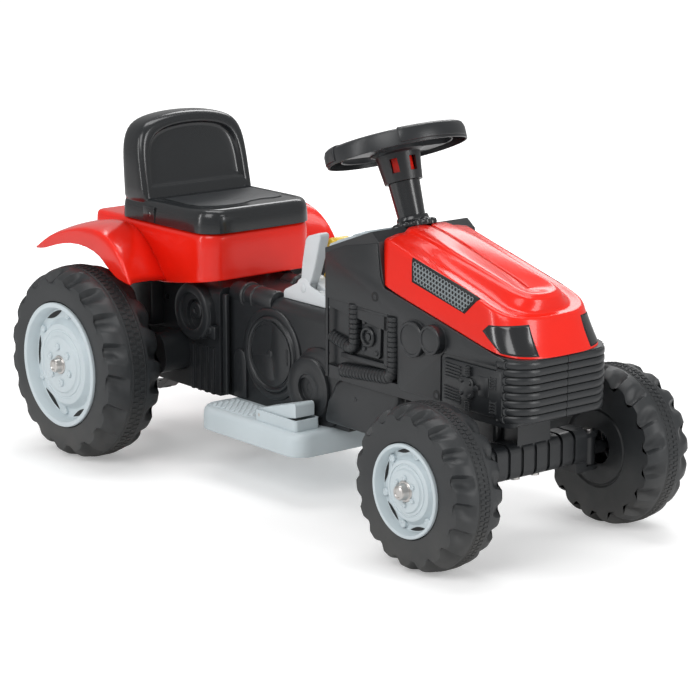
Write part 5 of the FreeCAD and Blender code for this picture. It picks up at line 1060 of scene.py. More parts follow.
def side_drums():
    """Two round canisters on the cowl's side."""
    parts = []
    for x, z, r, rise in ((273, 277, 25, 9), (316, 284, 20.5, 13)):
        profile = [(r + 2, 0), (r + 2, 0.6), (r, 0.8), (r, rise - 1.4), (r - 1.2, rise), (r - 4.2, rise),
                   (r - 5, rise - 1.2), (r - 6, rise - 1.0), (0, rise - 0.6)]
        parts.append(disc(x, z, COWL_FACE + 1.5, profile))
    return parts


# Fins: rear end, height, drop, pitch, thickness and rise
FINS = [(339, 256, 1.5, 4.4, 2.1, 2.0), (336, 224, 2.5, 4.2, 1.9, 1.8)]
FIN_COUNT, FIN_END = 5, 369
FIN_PANEL_RISE, BOLTED_RISE = 3.6, 3.4
RUNG_COUNT, RUNG_PITCH = 4, 4.2


def fin_panel():
    """Raised side panel with cooling fins, a bolted plate, small coils and ladders."""
    face = COWL_FACE + FIN_PANEL_RISE
    outline = [(331, 203), (335, 199), (444, 199), (449, 204), (449, 259), (444, 263), (336, 263),
               (331, 258)]
    plate = [(369, 221), (373, 216), (393, 216), (397, 221), (397, 240), (392, 245), (372, 245),
             (369, 241)]
    bolt = [(2.9, 0), (2.6, 1.4), (1.6, 2.0), (0, 2.0)]
    spots = ((374, 239), (391, 238), (374, 222), (391, 221))
    parts = [panel(outline, COWL_FACE, FIN_PANEL_RISE, 1.4)]
    for k in range(FIN_COUNT):
        for start, top, drop, pitch, thick, rise in FINS:
            z = top - pitch * k
            fin = [(start, z), (FIN_END, z - drop), (FIN_END, z - drop + thick), (start, z + thick)]
            parts.append(panel(fin, face, rise))
    parts.append(panel(plate, face, BOLTED_RISE, 1.0))
    parts += [disc(x, z, face + BOLTED_RISE, bolt, 14) for x, z in spots]
    parts += [hose([Vector((x, -face - 2, z + 7)), Vector((x, -face - 2, z - 7))], 4.6, 1, 3.4, 1.0)
              for x, z in ((386, 254), (385, 207))]
    parts.append(panel(oblong(404, 224, 424, 251), face, 1.4, 0.8))
    parts.append(bar((400, -face, 234), (404, -face - 5, 234), 4))
    for foot in (238, 205):
        steps = [foot + RUNG_PITCH * k for k in range(RUNG_COUNT)]
        parts += [panel(oblong(427, z, 438, z + 1.8), face, 1.8) for z in steps]
        parts += [panel(oblong(x, foot - 1, x + 2, foot + 16), face, 1.4) for x in (426, 437)]
    return parts


NOSE_BEND_X, NOSE_BEND_Y, NOSE_BEND_R = 437, -50, 38
NOSE_STEPS = 9
LOUVRE_COUNT, LOUVRE_TOP, LOUVRE_PITCH = 8, 272.5, 10.4
LOUVRE_REAR, LOUVRE_STAGGER = 450, 2.2
LOUVRE_STRAIGHT, LOUVRE_DRAW = 4, 0.35
LOUVRE_SECTION = [(-1.5, -4.9), (1.2, -4.8), (2.6, -3.8), (3.2, -1.6), (3.2, 1.0), (2.6, 3.6), (1.2, 4.9),
                  (-1.5, 5.0)]


def nose_row(out, z, start):
    """Row round the right half of the cowl's nose, moved out from its face."""
    row = [Vector((x, -COWL_FACE - out, z)) for x in (start, NOSE_BEND_X)]
    reach = NOSE_BEND_R + out
    for k in range(1, NOSE_STEPS + 1):
        turn = math.radians(90 / NOSE_STEPS * k - 90)
        row.append(Vector((NOSE_BEND_X + reach * math.cos(turn), NOSE_BEND_Y + reach * math.sin(turn), z)))
    return row + [Vector((NOSE_BEND_X + reach, y, z)) for y in (NOSE_BEND_Y, -0.4)]


def nose_louvres():
    """Rounded ridges that wrap the nose, split on the centre line."""
    parts = []
    for k in range(LOUVRE_COUNT):
        z, start = LOUVRE_TOP - LOUVRE_PITCH * k, LOUVRE_REAR - LOUVRE_STAGGER * (k % 2)
        draw_in = LOUVRE_DRAW * max(0, k - LOUVRE_STRAIGHT)
        bm = bmesh.new()
        bridged(bm, [nose_row(out - draw_in, z + dz, start + 3 * abs(dz) / 5) for out, dz in LOUVRE_SECTION])
        sealed(bm)
        parts.append(bm)
    return parts


COVER_X, COVER_Z = -79, 187
# Plates of the cover: first angle, last angle and rise
COVER_PLATES = [(-76, 84, 2.2), (190, 284, 1.1)]
COVER_PLATE_R, COVER_STEPS = 47, 16


def tunnel_disc():
    """Big round cover on the tunnel with two rims, and stepped plates on its face."""
    rings = [(69, 0), (68, 2.4), (66, 3.4), (60, 3.8), (58.5, 3.4), (57.8, 2.0), (56.8, 3.2), (55.4, 5.4),
             (53, 6.2), (50.8, 5.4), (49.8, 3.4), (48.8, 2.4), (0, 2.4)]
    face = TUNNEL_FACE + rings[-1][1]
    hub = [(6, 0), (5.4, 3.2), (3, 4.0), (0, 4.0)]
    parts = [disc(COVER_X, COVER_Z, TUNNEL_FACE, rings, 96), disc(COVER_X - 1, COVER_Z + 1, face, hub, 24)]
    for start, end, rise in COVER_PLATES:
        turns = [math.radians(start + (end - start) * k / COVER_STEPS) for k in range(COVER_STEPS + 1)]
        edge = [(COVER_X + COVER_PLATE_R * math.cos(a), COVER_Z + COVER_PLATE_R * math.sin(a))
                for a in turns]
        parts.append(panel([(COVER_X, COVER_Z)] + edge, face, rise, 0.6))
    return parts + [panel(oblong(-41, 178, -38, 202), face, 3.6, 0.6)]


def tunnel_crank():
    """Round gear housing ahead of the cover, with a deep socket, and its shroud."""
    shroud = [(60, 0), (59, 5), (55, 8.5), (49, 9.5), (0, 9.5)]
    drum = [(46.5, 0), (46.5, 12), (45, 15), (41, 16.4), (24, 16.4), (21.5, 15.6), (20.4, 13.6),
            (20.0, 5), (10.5, 5), (10, 8.4), (8.4, 9.4), (5, 9.4), (4.4, 7.4), (0, 7.4)]
    return [disc(34, 158, TUNNEL_FACE - 2, shroud, 72), disc(19, 156, TUNNEL_FACE - 2, drum, 72)]


def rear_port():
    """Axle port on the rear housing, with a bracket arm, a pillar, a rib and the block behind the wheel."""
    ring = [(44, 0), (44, 11), (42, 14.5), (38, 16), (31, 16), (28.4, 14.6), (27.4, 11), (27, 1), (14, 1),
            (13.4, 5), (11.6, 6.4), (5, 6.4), (4.2, 4.6), (0, 4.6)]
    arm = [(-216, 196), (-190, 192), (-189, 212), (-214, 214), (-220, 206)]
    pillar = [(-170, 108), (-140, 108), (-140, 168), (-144, 178), (-155, 183), (-166, 178), (-170, 168)]
    return [disc(-243, 228, HOUSING_FACE - 1, ring, 64),
            panel(arm, HOUSING_FACE, 9, 2.0),
            bar((-203, -HOUSING_FACE - 7, 205), (-203, -HOUSING_FACE - 11, 205), 5),
            panel(pillar, TUNNEL_FACE, 5, 2.2),
            panel(oblong(-186, 108, -176, 262), HOUSING_FACE - 8, 5, 1.6),
            panel(oblong(-402, 192, -332, 262), HOUSING_FACE, 24, 3.0)]


def tunnel_rail():
    """Fat tube along the tunnel's upper edge, with a collar near the fender."""
    y, z = -47.0, 262.0
    return [bar((-186, y, z), (-82, y, z), 17, 32), bar((-156, y, z), (-148, y, z), 20.5, 32),
            bar((-132, y, z), (-128, y, z), 18.6, 32)]


def belly_web():
    """Web under the nose, behind the axle beam."""
    bm = bmesh.new()
    block(bm, (296, -40, 132), (382, 0, 206))
    rounded(bm, 5, 3)
    return [bm]


def screw_wells():
    """Screw heads on round near-black discs on the cowl, painted shade of the wells they sit low in."""
    spots = ((188, 321), (318, 207))
    well = [(7, 0), (7, 0.5), (6.2, 0.6), (0, 0.5)]
    head = [(3.6, 0), (3.4, 0.9), (1.4, 1.1), (0, 0.6)]
    # The wells are flat discs painted dark: painted shade.
    body_piece("screw_wells", [disc(x, z, COWL_FACE + 1.4, well, 28) for x, z in spots], "lamp_plastic",
               "dark_well")
    body_piece("well_screws", [disc(x + 1, z, COWL_FACE + 1.6, head, 20) for x, z in spots])


def hood_frame():
    """Lip of the cowl round the hood's rear edge."""
    path = [(206.5, 334.5), (200.5, 343), (196.5, 353), (192.5, 374), (190.5, 388)]
    radius, y = 2.2, -87.6
    rows = [[Vector((x + radius * math.cos(a), y + radius * math.sin(a), z)) for a in ring_angles(10)]
            for x, z in path]
    bm = bmesh.new()
    bridged(bm, rows, closed=True)
    outwards(bm)
    return [bm]


BODY_MOULDINGS = (cowl_skins, engine_pipes, engine_plate, sump_bulge, side_drums, fin_panel, nose_louvres,
                  tunnel_disc, tunnel_crank, rear_port, tunnel_rail, hood_frame, belly_web)


# Rims: section from the outer edge to the middle, as share of the radius, level and height above it

RIM_PROFILE = [(0.945, "lip", 0), (0.925, "lip", -0.7), (0.912, "lip", -2.6), (0.882, "floor", 3.5),
               (0.872, "floor", 1), (0.85, "floor", 0), (0.735, "floor", 0), (0.715, "floor", 1.2),
               (0.665, "plate", -3.2), (0.645, "plate", -0.9), (0.61, "plate", 0), (0.565, "plate", 0.3),
               (0.555, "plate", -0.9), (0.53, "plate", -0.9), (0.52, "plate", 0.4), (0.475, "plate", 0.7),
               (0.46, "plate", 1.6), (0.445, "hub", -0.7), (0.42, "hub", 0), (0.12, "hub", 0),
               (0, "hub", 0)]
SLOT_HALF, SLOT_STEPS = 17, 12
SLOT_R, SLOT_WIDTH, SLOT_LIFT = 0.858, 0.085, 0.6
BOSSES, BOSS_AT, BOSS_R, BOSS_RISE = 6, 0.795, 5.4, 5
BOLT_AT, BOLT_R, BOLT_RISE, BOLT_SHIFT = 0.29, 0.058, 3.4, 14
LIP_OUT, PLATE_DROP = 4, 4
RIM_STEPS = 96


def rim_profile(radius, levels):
    """Section of a dished rim from its outer edge to its middle, as (radius, outward)."""
    lip = levels["lip"]
    return ([(radius, lip - 5), (radius, lip - 1.2), (radius - 1.2, lip)]
            + [(radius * share, levels[level] + above) for share, level, above in RIM_PROFILE])


def rim_spot(wheel, outward, radius, degrees, along):
    """Point on a wheel from its radius, its angle and its distance out."""
    turn = math.radians(degrees)
    return wheel + Vector((radius * math.cos(turn), outward * along, radius * math.sin(turn)))


def rim_slot(wheel, outward, radius, degrees, along):
    """Lens-shaped slot at the foot of a rim's wall: a flat face painted dark as the shade in the hole."""
    arc = [SLOT_HALF * (2 * k / SLOT_STEPS - 1) for k in range(SLOT_STEPS + 1)]
    outer = [rim_spot(wheel, outward, radius * SLOT_R, degrees + a, along) for a in arc]
    inner = [rim_spot(wheel, outward, radius * (SLOT_R - SLOT_WIDTH * (1 - (a / SLOT_HALF) ** 2)),
                      degrees + a, along) for a in arc[1:-1]]
    bm = bmesh.new()
    face = bm.faces.new([bm.verts.new(p) for p in outer + inner[::-1]])
    face.normal_update()
    if face.normal.y * outward < 0:
        face.normal_flip()
    return bm


def rim_stud(spot, outward, radius, rise, steps):
    """Round stud with a chamfer and a sunk middle."""
    profile = [(0, -1), (radius, -1), (radius, rise - 1), (radius - 0.9, rise), (radius * 0.55, rise),
               (radius * 0.45, rise - 0.8), (0, rise - 0.8)]
    return turned(profile, spot, Vector((0, outward, 0)), steps)


def rim(place, side):
    """Dished rim: broad lip, deep wall, six slots and bosses, ridged disc and a ring of bolts."""
    wheel, outward, _, centre = wheel_place(place, side)
    radius, half = wheel["rim"], wheel["half"]
    lip, hub = half + LIP_OUT, half + wheel["hub"]
    foot = lip - wheel["sink"]
    levels = {"lip": lip, "floor": foot, "plate": hub - PLATE_DROP, "hub": hub}
    dish = turned(rim_profile(radius, levels), centre, Vector((0, outward, 0)), RIM_STEPS)
    parts, slots = [dish], []
    for k in range(BOSSES):
        angle = wheel["turn"] + 360 / BOSSES * k
        boss = rim_spot(centre, outward, radius * BOSS_AT, angle, foot)
        bolt = rim_spot(centre, outward, radius * BOLT_AT, angle + BOLT_SHIFT, hub)
        parts.append(rim_stud(boss, outward, BOSS_R, BOSS_RISE, 28))
        parts.append(rim_stud(bolt, outward, radius * BOLT_R, BOLT_RISE, 24))
        slots.append(rim_slot(centre, outward, radius, angle + 180 / BOSSES, foot + SLOT_LIFT))
    name, body = f"{place}_rim_{side}", f"{place}_wheel_{side}"
    piece(f"dressed_{name}", joined(parts), body, "grey_plastic", [name], smooth=32)
    # Slots are flat faces of painted shade.
    piece(f"{name}_slots", joined(slots), body, "lamp_plastic", key="dark_well")


# Levers, footrest, dash, collar and axle caps

PIVOT = Vector((-29, 0, 292))
LEVER_LEAN = math.radians(26)
CHEEKS = [(-44, -40.9), (-27.1, -8.9), (4.9, 16)]
GEAR_BLADE = [(-37, 298), (-33, 330), (-25, 364), (-20, 370), (4, 377.5), (9, 376), (9.5, 371), (0, 338),
              (-10, 310), (-17, 298)]
GEAR_FOOT = [(-37, 288), (-37, 302), (-16, 302), (-20, 286), (-29, 282.5), (-34, 284)]
CROWN_R, CROWN_START, CROWN_STEP, CROWN_STEPS = 17, 155, 13, 11
# Bars of the play lever: half width, sides, ends and rounding
PLAY_BARS = [(4.5, -8, 4, 0, 70, 1.4), (8, -20, 16, 65, 81, 3.4), (5, -15, 11, 76, 82, 1.2)]


def side_slab(outline, y0, y1, edge, segments=3):
    """Plate between two y planes, from an outline of (x, z) points, with rounded edges."""
    return slab([Vector((x, y0, z)) for x, z in outline], Vector((0, y1 - y0, 0)), edge, segments)


def lever_spot(across, y, along):
    """Point on a lever that leans forwards from the pivot."""
    return PIVOT + Vector((math.cos(LEVER_LEAN) * across + math.sin(LEVER_LEAN) * along, y,
                           math.cos(LEVER_LEAN) * along - math.sin(LEVER_LEAN) * across))


def lever_bar(across, y0, y1, low, top, edge):
    """Straight bar along a leaning lever."""
    corners = oblong(-across, low, across, top)
    return slab([lever_spot(a, y0, along) for a, along in corners], Vector((0, y1 - y0, 0)), edge, 3)


def lever_bracket():
    """Housing with a round crown: three cheeks with a lever between each pair, and a cap on the pin."""
    turns = [math.radians(CROWN_START - CROWN_STEP * k) for k in range(CROWN_STEPS)]
    crown = [(PIVOT.x + CROWN_R * math.cos(a), PIVOT.z - 2 + CROWN_R * math.sin(a)) for a in turns]
    ends = [[(-76, 270.4), (-76, 280), (-72, 284)], [(24, 287), (27, 283), (27, 270.4)]]
    cheeks = [side_slab(ends[0] + crown + ends[1], y0, y1, 1.3) for y0, y1 in CHEEKS]
    fills = [side_slab(outline, -42, 14, 0.8) for outline in (
        [(-75.4, 270.4), (-75.4, 279.6), (-71.6, 283.2), (-53, 287), (-53, 270.4)],
        [(-5, 270.4), (-5, 291), (23.6, 286.2), (26.4, 282.6), (26.4, 270.4)])]
    cap = disc(PIVOT.x, PIVOT.z, 44, [(6.4, 0), (6.2, 0.8), (5.4, 1.2), (0, 1.2)], 28)
    piece("dressed_bracket", joined(cheeks + fills + [cap]), "chassis", "white_plastic", ["lever_bracket"])


def lever_eye(y0, y1):
    """Round eye of a lever on the pin."""
    bm = bmesh.new()
    rod(bm, PIVOT + Vector((0, y0, 0)), PIVOT + Vector((0, y1, 0)), 9, 36)
    return bm


def levers():
    """White gear lever with a broad blade, and yellow play lever with a cross grip."""
    blade, foot = side_slab(GEAR_BLADE, -43.5, -25.5, 3.2, 4), side_slab(GEAR_FOOT, -40, -28, 0.8)
    gear = [lever_eye(-40, -28), blade, foot]
    play = [lever_eye(-8, 4)] + [lever_bar(*measures) for measures in PLAY_BARS]
    for name, parts, slot in (("gear_lever", gear, "white_plastic"), ("play_lever", play, "yellow_plastic")):
        piece(f"dressed_{name}", joined(parts), name, slot, [name])


FOOT_PLAN = (-177, 72, 135, 26, 34)
FOOT_STEPS = [(71.2, 0.0), (73, 0.0), (94, 0.2), (99.5, 1.4), (103.2, 4.6), (104.9, 10), (105, 16),
              (105, 30)]
# Mats: from x, to x, from y, to y
MATS = [(-166, -56, -122, -70), (-166, 52, 70, 122)]
MAT_FOOT, MAT_TOP, MAT_CORNER = 104.4, 105.7, 14
STUD_PITCH, STUD_Z, STUD_RISE = 11.0, 106.3, 1.5
STUD_FOOT, STUD_TOP, STUD_SHARE = 5.2, 3.4, 0.55


def footrest():
    """Rounded plate under the feet, open below."""
    bm = bmesh.new()
    loops = bridged(bm, [inset_loop(*FOOT_PLAN, z, inset) for z, inset in FOOT_STEPS], closed=True)
    capped(bm, loops[-1])
    outwards(bm)
    piece("dressed_footrest", bm, "chassis", "grey_plastic", ["footrest"], smooth=50, wall=SHELL_WALL)


def tread_mats():
    """Mat of diamond studs where each foot rests."""
    bm = bmesh.new()
    for x0, x1, y0, y1 in MATS:
        verts = block(bm, (x0, y0, MAT_FOOT), (x1, y1, MAT_TOP))
        upright = [e for e in bm.edges if e.verts[0] in verts and abs(e.verts[0].co.z - e.verts[1].co.z) > 1]
        bmesh.ops.bevel(bm, geom=upright, offset=MAT_CORNER, segments=5, profile=0.5, affect="EDGES",
                        material=-1)
        columns, rows = int((x1 - x0 - 12) / STUD_PITCH), int((y1 - y0 - 8) / STUD_PITCH * 2)
        for row in range(rows + 1):
            y = (y0 + y1) / 2 + (row - rows / 2) * STUD_PITCH / 2
            for column in range(columns + row % 2):
                x = (x0 + x1) / 2 + (column - (columns - 1 + row % 2) / 2) * STUD_PITCH
                place = Matrix.Translation((x, y, STUD_Z)) @ Matrix.Diagonal((1.0, STUD_SHARE, 1, 1))
                bmesh.ops.create_cone(bm, cap_ends=True, segments=4, radius1=STUD_FOOT, radius2=STUD_TOP,
                                      depth=STUD_RISE, matrix=place)
    piece("tread_mats", bm, "chassis", "grey_plastic", smooth=20)


COLUMN_FOOT = Vector((166.3, 0, 404.6))
COLLAR_LOBES, LOBE_STEPS, LOBE_DEPTH = 10, 12, 4
COLLAR_NECK = 26


def column_collar():
    """Collar round the foot of the column: a scalloped flange under a ringed neck."""
    profile = [(19.2, -2), (31, -2), (32.5, 1.6), (32, 5), (29.5, 7.4), (24.5, 8.2), (23, 9.6),
               (22.6, 13.6), (21.6, 15.2), (19.2, 15.2)]
    bm = turned(profile, COLUMN_FOOT, COLUMN_UP, COLLAR_LOBES * LOBE_STEPS, closed=True)
    for vert in bm.verts:
        out = vert.co - COLUMN_FOOT
        out -= COLUMN_UP * out.dot(COLUMN_UP)
        if out.length > COLLAR_NECK:
            turn = math.atan2(out.y, out.dot(COLUMN_ACROSS))
            vert.co += out.normalized() * (abs(math.cos(turn * COLLAR_LOBES / 2)) - 0.8) * LOBE_DEPTH
    piece("dressed_column_collar", bm, "chassis", "black_plastic", ["column_collar"], "seat_plastic",
          smooth=35)


def dash_plates():
    """Two raised steps on the dash's sloping top."""
    parts = []
    for low, top, half, rise in ((-90, -64, 70, 2.6), (-62, -39, 62, 4.2)):
        outline = [COLUMN_FOOT + COLUMN_ACROSS * a + Vector((0, y, 0)) + COLUMN_UP * 4.4
                   for a, y in ((low, -half), (top, -half + 6), (top, half - 6), (low, half))]
        parts.append(slab(outline, COLUMN_UP * (rise + 0.6), 1.2, 3))
    piece("dash_plates", joined(parts), "chassis", "grey_plastic")


# Axle caps: body, wheel, start, length and sides
NUTS = {
    "front_nut_right": ("knuckle_right", "front", 211.5, 13.5, ["right"]),
    "front_nut_left": ("knuckle_left", "front", 211.5, 13.5, ["left"]),
    "rear_axle_nuts": ("chassis", "rear", 249.5, 13.2, ["right", "left"]),
}


def axle_caps():
    """Round caps with a collar on the axle ends."""
    for name, (body, place, start, length, sides) in NUTS.items():
        profile = [(0, -1), (14.5, -1), (14.5, 1.2), (13.4, 2.2), (11.6, 2.4), (11, 3.2),
                   (10.6, length - 3.6), (9.2, length - 1.2), (6.4, length - 0.2), (5.6, length - 1.4),
                   (0, length - 1.4)]
        caps = []
        for side in sides:
            wheel, outward, radius, _ = wheel_place(place, side)
            foot = Vector((wheel["x"], start * outward, radius))
            caps.append(turned(profile, foot, Vector((0, outward, 0)), 40))
        piece(f"dressed_{name}", joined(caps), body, "steel", [name], smooth=35)


REAR_FACE = -406
REAR_RIBS, REAR_RIB_FOOT, REAR_RIB_PITCH = 7, 142, 15


def rear_panel():
    """Ribbed panel on the back of the housing."""
    outline = [(-60, 128), (60, 128), (64, 134), (64, 244), (58, 252), (-58, 252), (-64, 244), (-64, 134)]
    parts = [slab([Vector((REAR_FACE, y, z)) for y, z in outline], Vector((-4.4, 0, 0)), 1.2)]
    for k in range(REAR_RIBS):
        z = REAR_RIB_FOOT + REAR_RIB_PITCH * k
        rib = bmesh.new()
        block(rib, (REAR_FACE - 7, -52, z), (REAR_FACE - 3, 52, z + 6))
        rounded(rib, 1.4)
        parts.append(rib)
    piece("rear_panel", joined(parts), "chassis", "black_plastic")


# Springs: foot, axis, coil radius, wire radius, pitch, height, body, joint and the share left when pressed

SPRINGS = {
    "pedal_spring": (Vector((25, -100, 108)), UP, 6.0, 0.8, 4.0, 25.5, "chassis", "pedal_press", 0.62),
    "horn_spring": (WHEEL_AT + COLUMN_UP * 4, COLUMN_UP, 11.0, 1.0, 4.0, 8.0, "steering",
                    "horn_press", 0.60),
}
COIL_STEPS = 28
WIRE_STEPS = 10


def coil(foot, up, radius, wire, pitch, height):
    """Round-wire coil that stands on its foot."""
    across = up.orthogonal().normalized()
    beside = up.cross(across)
    turns = (height - 2 * wire) / pitch
    rows = []
    for k in range(int(turns * COIL_STEPS) + 1):
        turn = TURN * k / COIL_STEPS
        out = across * math.cos(turn) + beside * math.sin(turn)
        middle = foot + out * radius + up * (wire + pitch * k / COIL_STEPS)
        rows.append([middle + (out * math.cos(a) + up * math.sin(a)) * wire
                     for a in ring_angles(WIRE_STEPS)])
    bm = bmesh.new()
    bridged(bm, rows, closed=True)
    sealed(bm)
    return bm


def springs():
    """Return springs of the pedal and the horn, each with a mesh of its own."""
    for name, (foot, up, radius, wire, pitch, height, body, joint, left) in SPRINGS.items():
        bm = coil(foot, up, radius, wire, pitch, height)
        obj = piece(f"dressed_{name}", bm, body, "steel", [name], smooth=60)
        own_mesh(obj)


# Nodes of the frame with the seat's gloss
GLOSSY = ("column_tube",)


class TRACTOR_OT_cad_finishes(Operator):
    """Gives every piece of the frame its finish"""
    bl_idname = "tractor.cad_finishes"
    bl_label = "Frame Finishes"

    def execute(self, context):
        for part in frame["record"]["subparts"]:
            obj = frame["nodes"][part["node"]]
            obj.data.materials.clear()
            key = "seat_plastic" if part["node"] in GLOSSY else part["material_slot"]
            obj.data.materials.append(look(key))
        return {"FINISHED"}


class TRACTOR_OT_tyres(Operator):
    """Makes the four tyres"""
    bl_idname = "tractor.tyres"
    bl_label = "Tyres"

    def execute(self, context):
        all_wheels(tyre)
        return {"FINISHED"}


class TRACTOR_OT_bands(Operator):
    """Makes the four tread bands"""
    bl_idname = "tractor.bands"
    bl_label = "Tread Bands"

    def execute(self, context):
        all_wheels(tread_band)
        return {"FINISHED"}


class TRACTOR_OT_hood(Operator):
    """Makes the hood with its lamps and vents"""
    bl_idname = "tractor.hood"
    bl_label = "Hood"

    def execute(self, context):
        shell = hood()
        lamps(shell)
        vents(shell)
        return {"FINISHED"}


class TRACTOR_OT_seat(Operator):
    """Makes the seat"""
    bl_idname = "tractor.seat"
    bl_label = "Seat"

    def execute(self, context):
        seat()
        seat_tabs()
        return {"FINISHED"}


class TRACTOR_OT_fender(Operator):
    """Makes the fender"""
    bl_idname = "tractor.fender"
    bl_label = "Fender"

    def execute(self, context):
        fender()
        return {"FINISHED"}


class TRACTOR_OT_steering_wheel(Operator):
    """Makes the steering wheel"""
    bl_idname = "tractor.steering_wheel"
    bl_label = "Steering Wheel"

    def execute(self, context):
        steering_rim()
        return {"FINISHED"}


class TRACTOR_OT_rims(Operator):
    """Makes the four rims"""
    bl_idname = "tractor.rims"
    bl_label = "Rims"

    def execute(self, context):
        all_wheels(rim)
        return {"FINISHED"}


class TRACTOR_OT_mouldings(Operator):
    """Makes the mouldings on the body's sides and nose"""
    bl_idname = "tractor.mouldings"
    bl_label = "Body Mouldings"

    def execute(self, context):
        for maker in BODY_MOULDINGS:
            body_piece(maker.__name__, maker())
        screw_wells()
        return {"FINISHED"}


class TRACTOR_OT_levers(Operator):
    """Makes the levers and their bracket"""
    bl_idname = "tractor.levers"
    bl_label = "Levers"

    def execute(self, context):
        lever_bracket()
        levers()
        return {"FINISHED"}


class TRACTOR_OT_footrest(Operator):
    """Makes the footrest and its mats"""
    bl_idname = "tractor.footrest"
    bl_label = "Footrest"

    def execute(self, context):
        footrest()
        tread_mats()
        return {"FINISHED"}


class TRACTOR_OT_trim(Operator):
    """Makes the dash steps, the column's collar, the axle caps and the rear panel"""
    bl_idname = "tractor.trim"
    bl_label = "Trim"

    def execute(self, context):
        dash_plates()
        column_collar()
        axle_caps()
        rear_panel()
        return {"FINISHED"}


class TRACTOR_OT_springs(Operator):
    """Makes the return springs of the pedal and the horn"""
    bl_idname = "tractor.springs"
    bl_label = "Springs"

    def execute(self, context):
        springs()
        return {"FINISHED"}


# Lights: place, aim, width, height and power
LIGHTS = {
    "key": ((1.6, -3.0, 3.0), (0, 0, 0.2), 2.2, 2.2, 60),
    "front strip": ((3.4, 0.9, 1.4), (0.2, 0, 0.3), 0.9, 2.2, 42),
    "side strip": ((-0.9, -3.2, 1.3), (-0.2, 0, 0.3), 0.45, 2.2, 22),
    "back strip": ((-1.6, 2.2, 2.3), (0.1, 0, 0.35), 2.0, 0.9, 26),
    "top": ((-0.3, 0.4, 3.4), (0, 0, 0.2), 2.6, 1.2, 40),
}
SEEN_LIGHT, CAST_LIGHT = 1.0, 0.42
FLOOR_HALF = 9.0
# Glow of the floor where it is seen: near and far distance, then the strength at each
FLOOR_GLOW = {"From Min": 0.6, "From Max": 2.8, "To Min": 0.30, "To Max": 0.75}
CAMERA_AT, CAMERA_AIM = Vector((2.862, -2.313, 1.059)), Vector((0.024, 0, 0.203))


def softbox(name, at, towards, width, height, power):
    """Rectangular studio light aimed at a point."""
    lamp = bpy.data.lights.new(name, "AREA")
    lamp.shape, lamp.size, lamp.size_y, lamp.energy = "RECTANGLE", width, height, power
    obj = bpy.data.objects.new(name, lamp)
    obj.location = at
    obj.rotation_euler = (Vector(towards) - Vector(at)).to_track_quat("-Z", "Y").to_euler()
    bpy.context.scene.collection.objects.link(obj)


def seen_rays(tree):
    """Mask of the rays that see the background itself."""
    path = tree.nodes.new("ShaderNodeLightPath")
    return maths(tree, "MAXIMUM", path.outputs["Is Camera Ray"], path.outputs["Is Transmission Ray"])


def studio_world():
    """Pale surround: white where it is seen, softer where it lights."""
    world = bpy.data.worlds.new("studio")
    world.use_nodes = True
    tree = world.node_tree
    sky = tree.nodes["Background"]
    sky.inputs["Color"].default_value = (1, 1, 1, 1)
    strength = maths(tree, "MULTIPLY_ADD", seen_rays(tree), SEEN_LIGHT - CAST_LIGHT)
    strength.node.inputs[2].default_value = CAST_LIGHT
    tree.links.new(strength, sky.inputs["Strength"])
    bpy.context.scene.world = world


def floor():
    """Pale floor that keeps the tractor's shadow."""
    bm = bmesh.new()
    bmesh.ops.create_grid(bm, x_segments=8, y_segments=8, size=FLOOR_HALF)
    mesh = bpy.data.meshes.new("floor")
    bm.to_mesh(mesh)
    bm.free()
    obj = bpy.data.objects.new("floor", mesh)
    bpy.context.scene.collection.objects.link(obj)
    material = bpy.data.materials.new("pale floor")
    material.use_nodes = True
    tree = material.node_tree
    shader = tree.nodes["Principled BSDF"]
    shader.inputs["Base Color"].default_value = (*colours().floor, 1)
    shader.inputs["Roughness"].default_value = 0.9
    shader.inputs["Specular IOR Level"].default_value = 0.1
    shader.inputs["Emission Color"].default_value = (1, 1, 1, 1)
    place = tree.nodes.new("ShaderNodeTexCoord").outputs["Object"]
    away = tree.nodes.new("ShaderNodeVectorMath")
    away.operation = "LENGTH"
    tree.links.new(place, away.inputs[0])
    far = tree.nodes.new("ShaderNodeMapRange")
    for socket, value in FLOOR_GLOW.items():
        far.inputs[socket].default_value = value
    tree.links.new(away.outputs["Value"], far.inputs["Value"])
    glow = maths(tree, "MULTIPLY", seen_rays(tree), far.outputs["Result"])
    tree.links.new(glow, shader.inputs["Emission Strength"])
    mesh.materials.append(material)


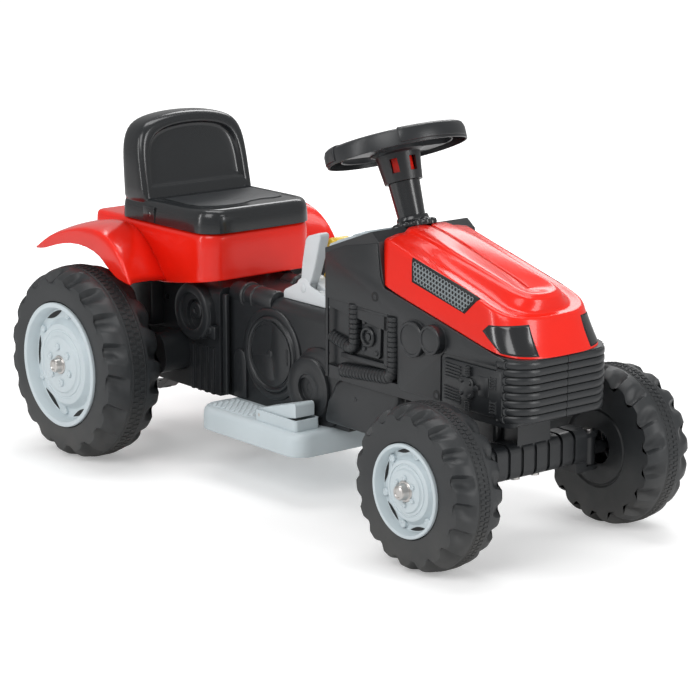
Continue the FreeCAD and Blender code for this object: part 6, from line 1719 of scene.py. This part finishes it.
def camera():
    """Camera at the picture's angle."""
    lens = bpy.data.cameras.new("camera")
    lens.lens, lens.sensor_width, lens.clip_end = sizes().lens, 36.0, 50.0
    obj = bpy.data.objects.new("camera", lens)
    obj.location = CAMERA_AT
    obj.rotation_euler = (CAMERA_AIM - CAMERA_AT).to_track_quat("-Z", "Y").to_euler()
    bpy.context.scene.collection.objects.link(obj)
    bpy.context.scene.camera = obj


class TRACTOR_OT_stage(Operator):
    """Makes the floor, the lights and the camera"""
    bl_idname = "tractor.stage"
    bl_label = "Stage"

    def execute(self, context):
        floor()
        studio_world()
        for name, light in LIGHTS.items():
            softbox(name, *light)
        context.scene.view_settings.view_transform = "Standard"
        camera()
        return {"FINISHED"}


STEPS = (TRACTOR_OT_cad_finishes, TRACTOR_OT_tyres, TRACTOR_OT_bands, TRACTOR_OT_rims, TRACTOR_OT_hood,
         TRACTOR_OT_seat, TRACTOR_OT_fender, TRACTOR_OT_steering_wheel, TRACTOR_OT_mouldings,
         TRACTOR_OT_levers, TRACTOR_OT_footrest, TRACTOR_OT_trim, TRACTOR_OT_springs, TRACTOR_OT_stage)


class TRACTOR_PT_pieces(Panel):
    """Lists the pieces"""
    bl_idname = "TRACTOR_PT_pieces"
    bl_label = "Ride-on Tractor"
    bl_space_type = "VIEW_3D"
    bl_region_type = "UI"
    bl_category = "Tractor"

    def draw(self, context):
        for group in (context.scene.tractor_sizes, context.scene.tractor_colours):
            for name in group.bl_rna.properties.keys():
                if name not in {"rna_type", "name"}:
                    self.layout.prop(group, name)
        for step in STEPS:
            self.layout.operator(step.bl_idname)


CLASSES = (TractorSizes, TractorColours, *STEPS, TRACTOR_PT_pieces)


def register():
    for cls in CLASSES:
        bpy.utils.register_class(cls)
    bpy.types.Scene.tractor_sizes = PointerProperty(type=TractorSizes)
    bpy.types.Scene.tractor_colours = PointerProperty(type=TractorColours)


def unregister():
    del bpy.types.Scene.tractor_colours
    del bpy.types.Scene.tractor_sizes
    for cls in reversed(CLASSES):
        bpy.utils.unregister_class(cls)


def main():
    register()
    for step in STEPS:
        group, name = step.bl_idname.split(".")
        getattr(getattr(bpy.ops, group), name)()


if __name__ == "__main__":
    main()
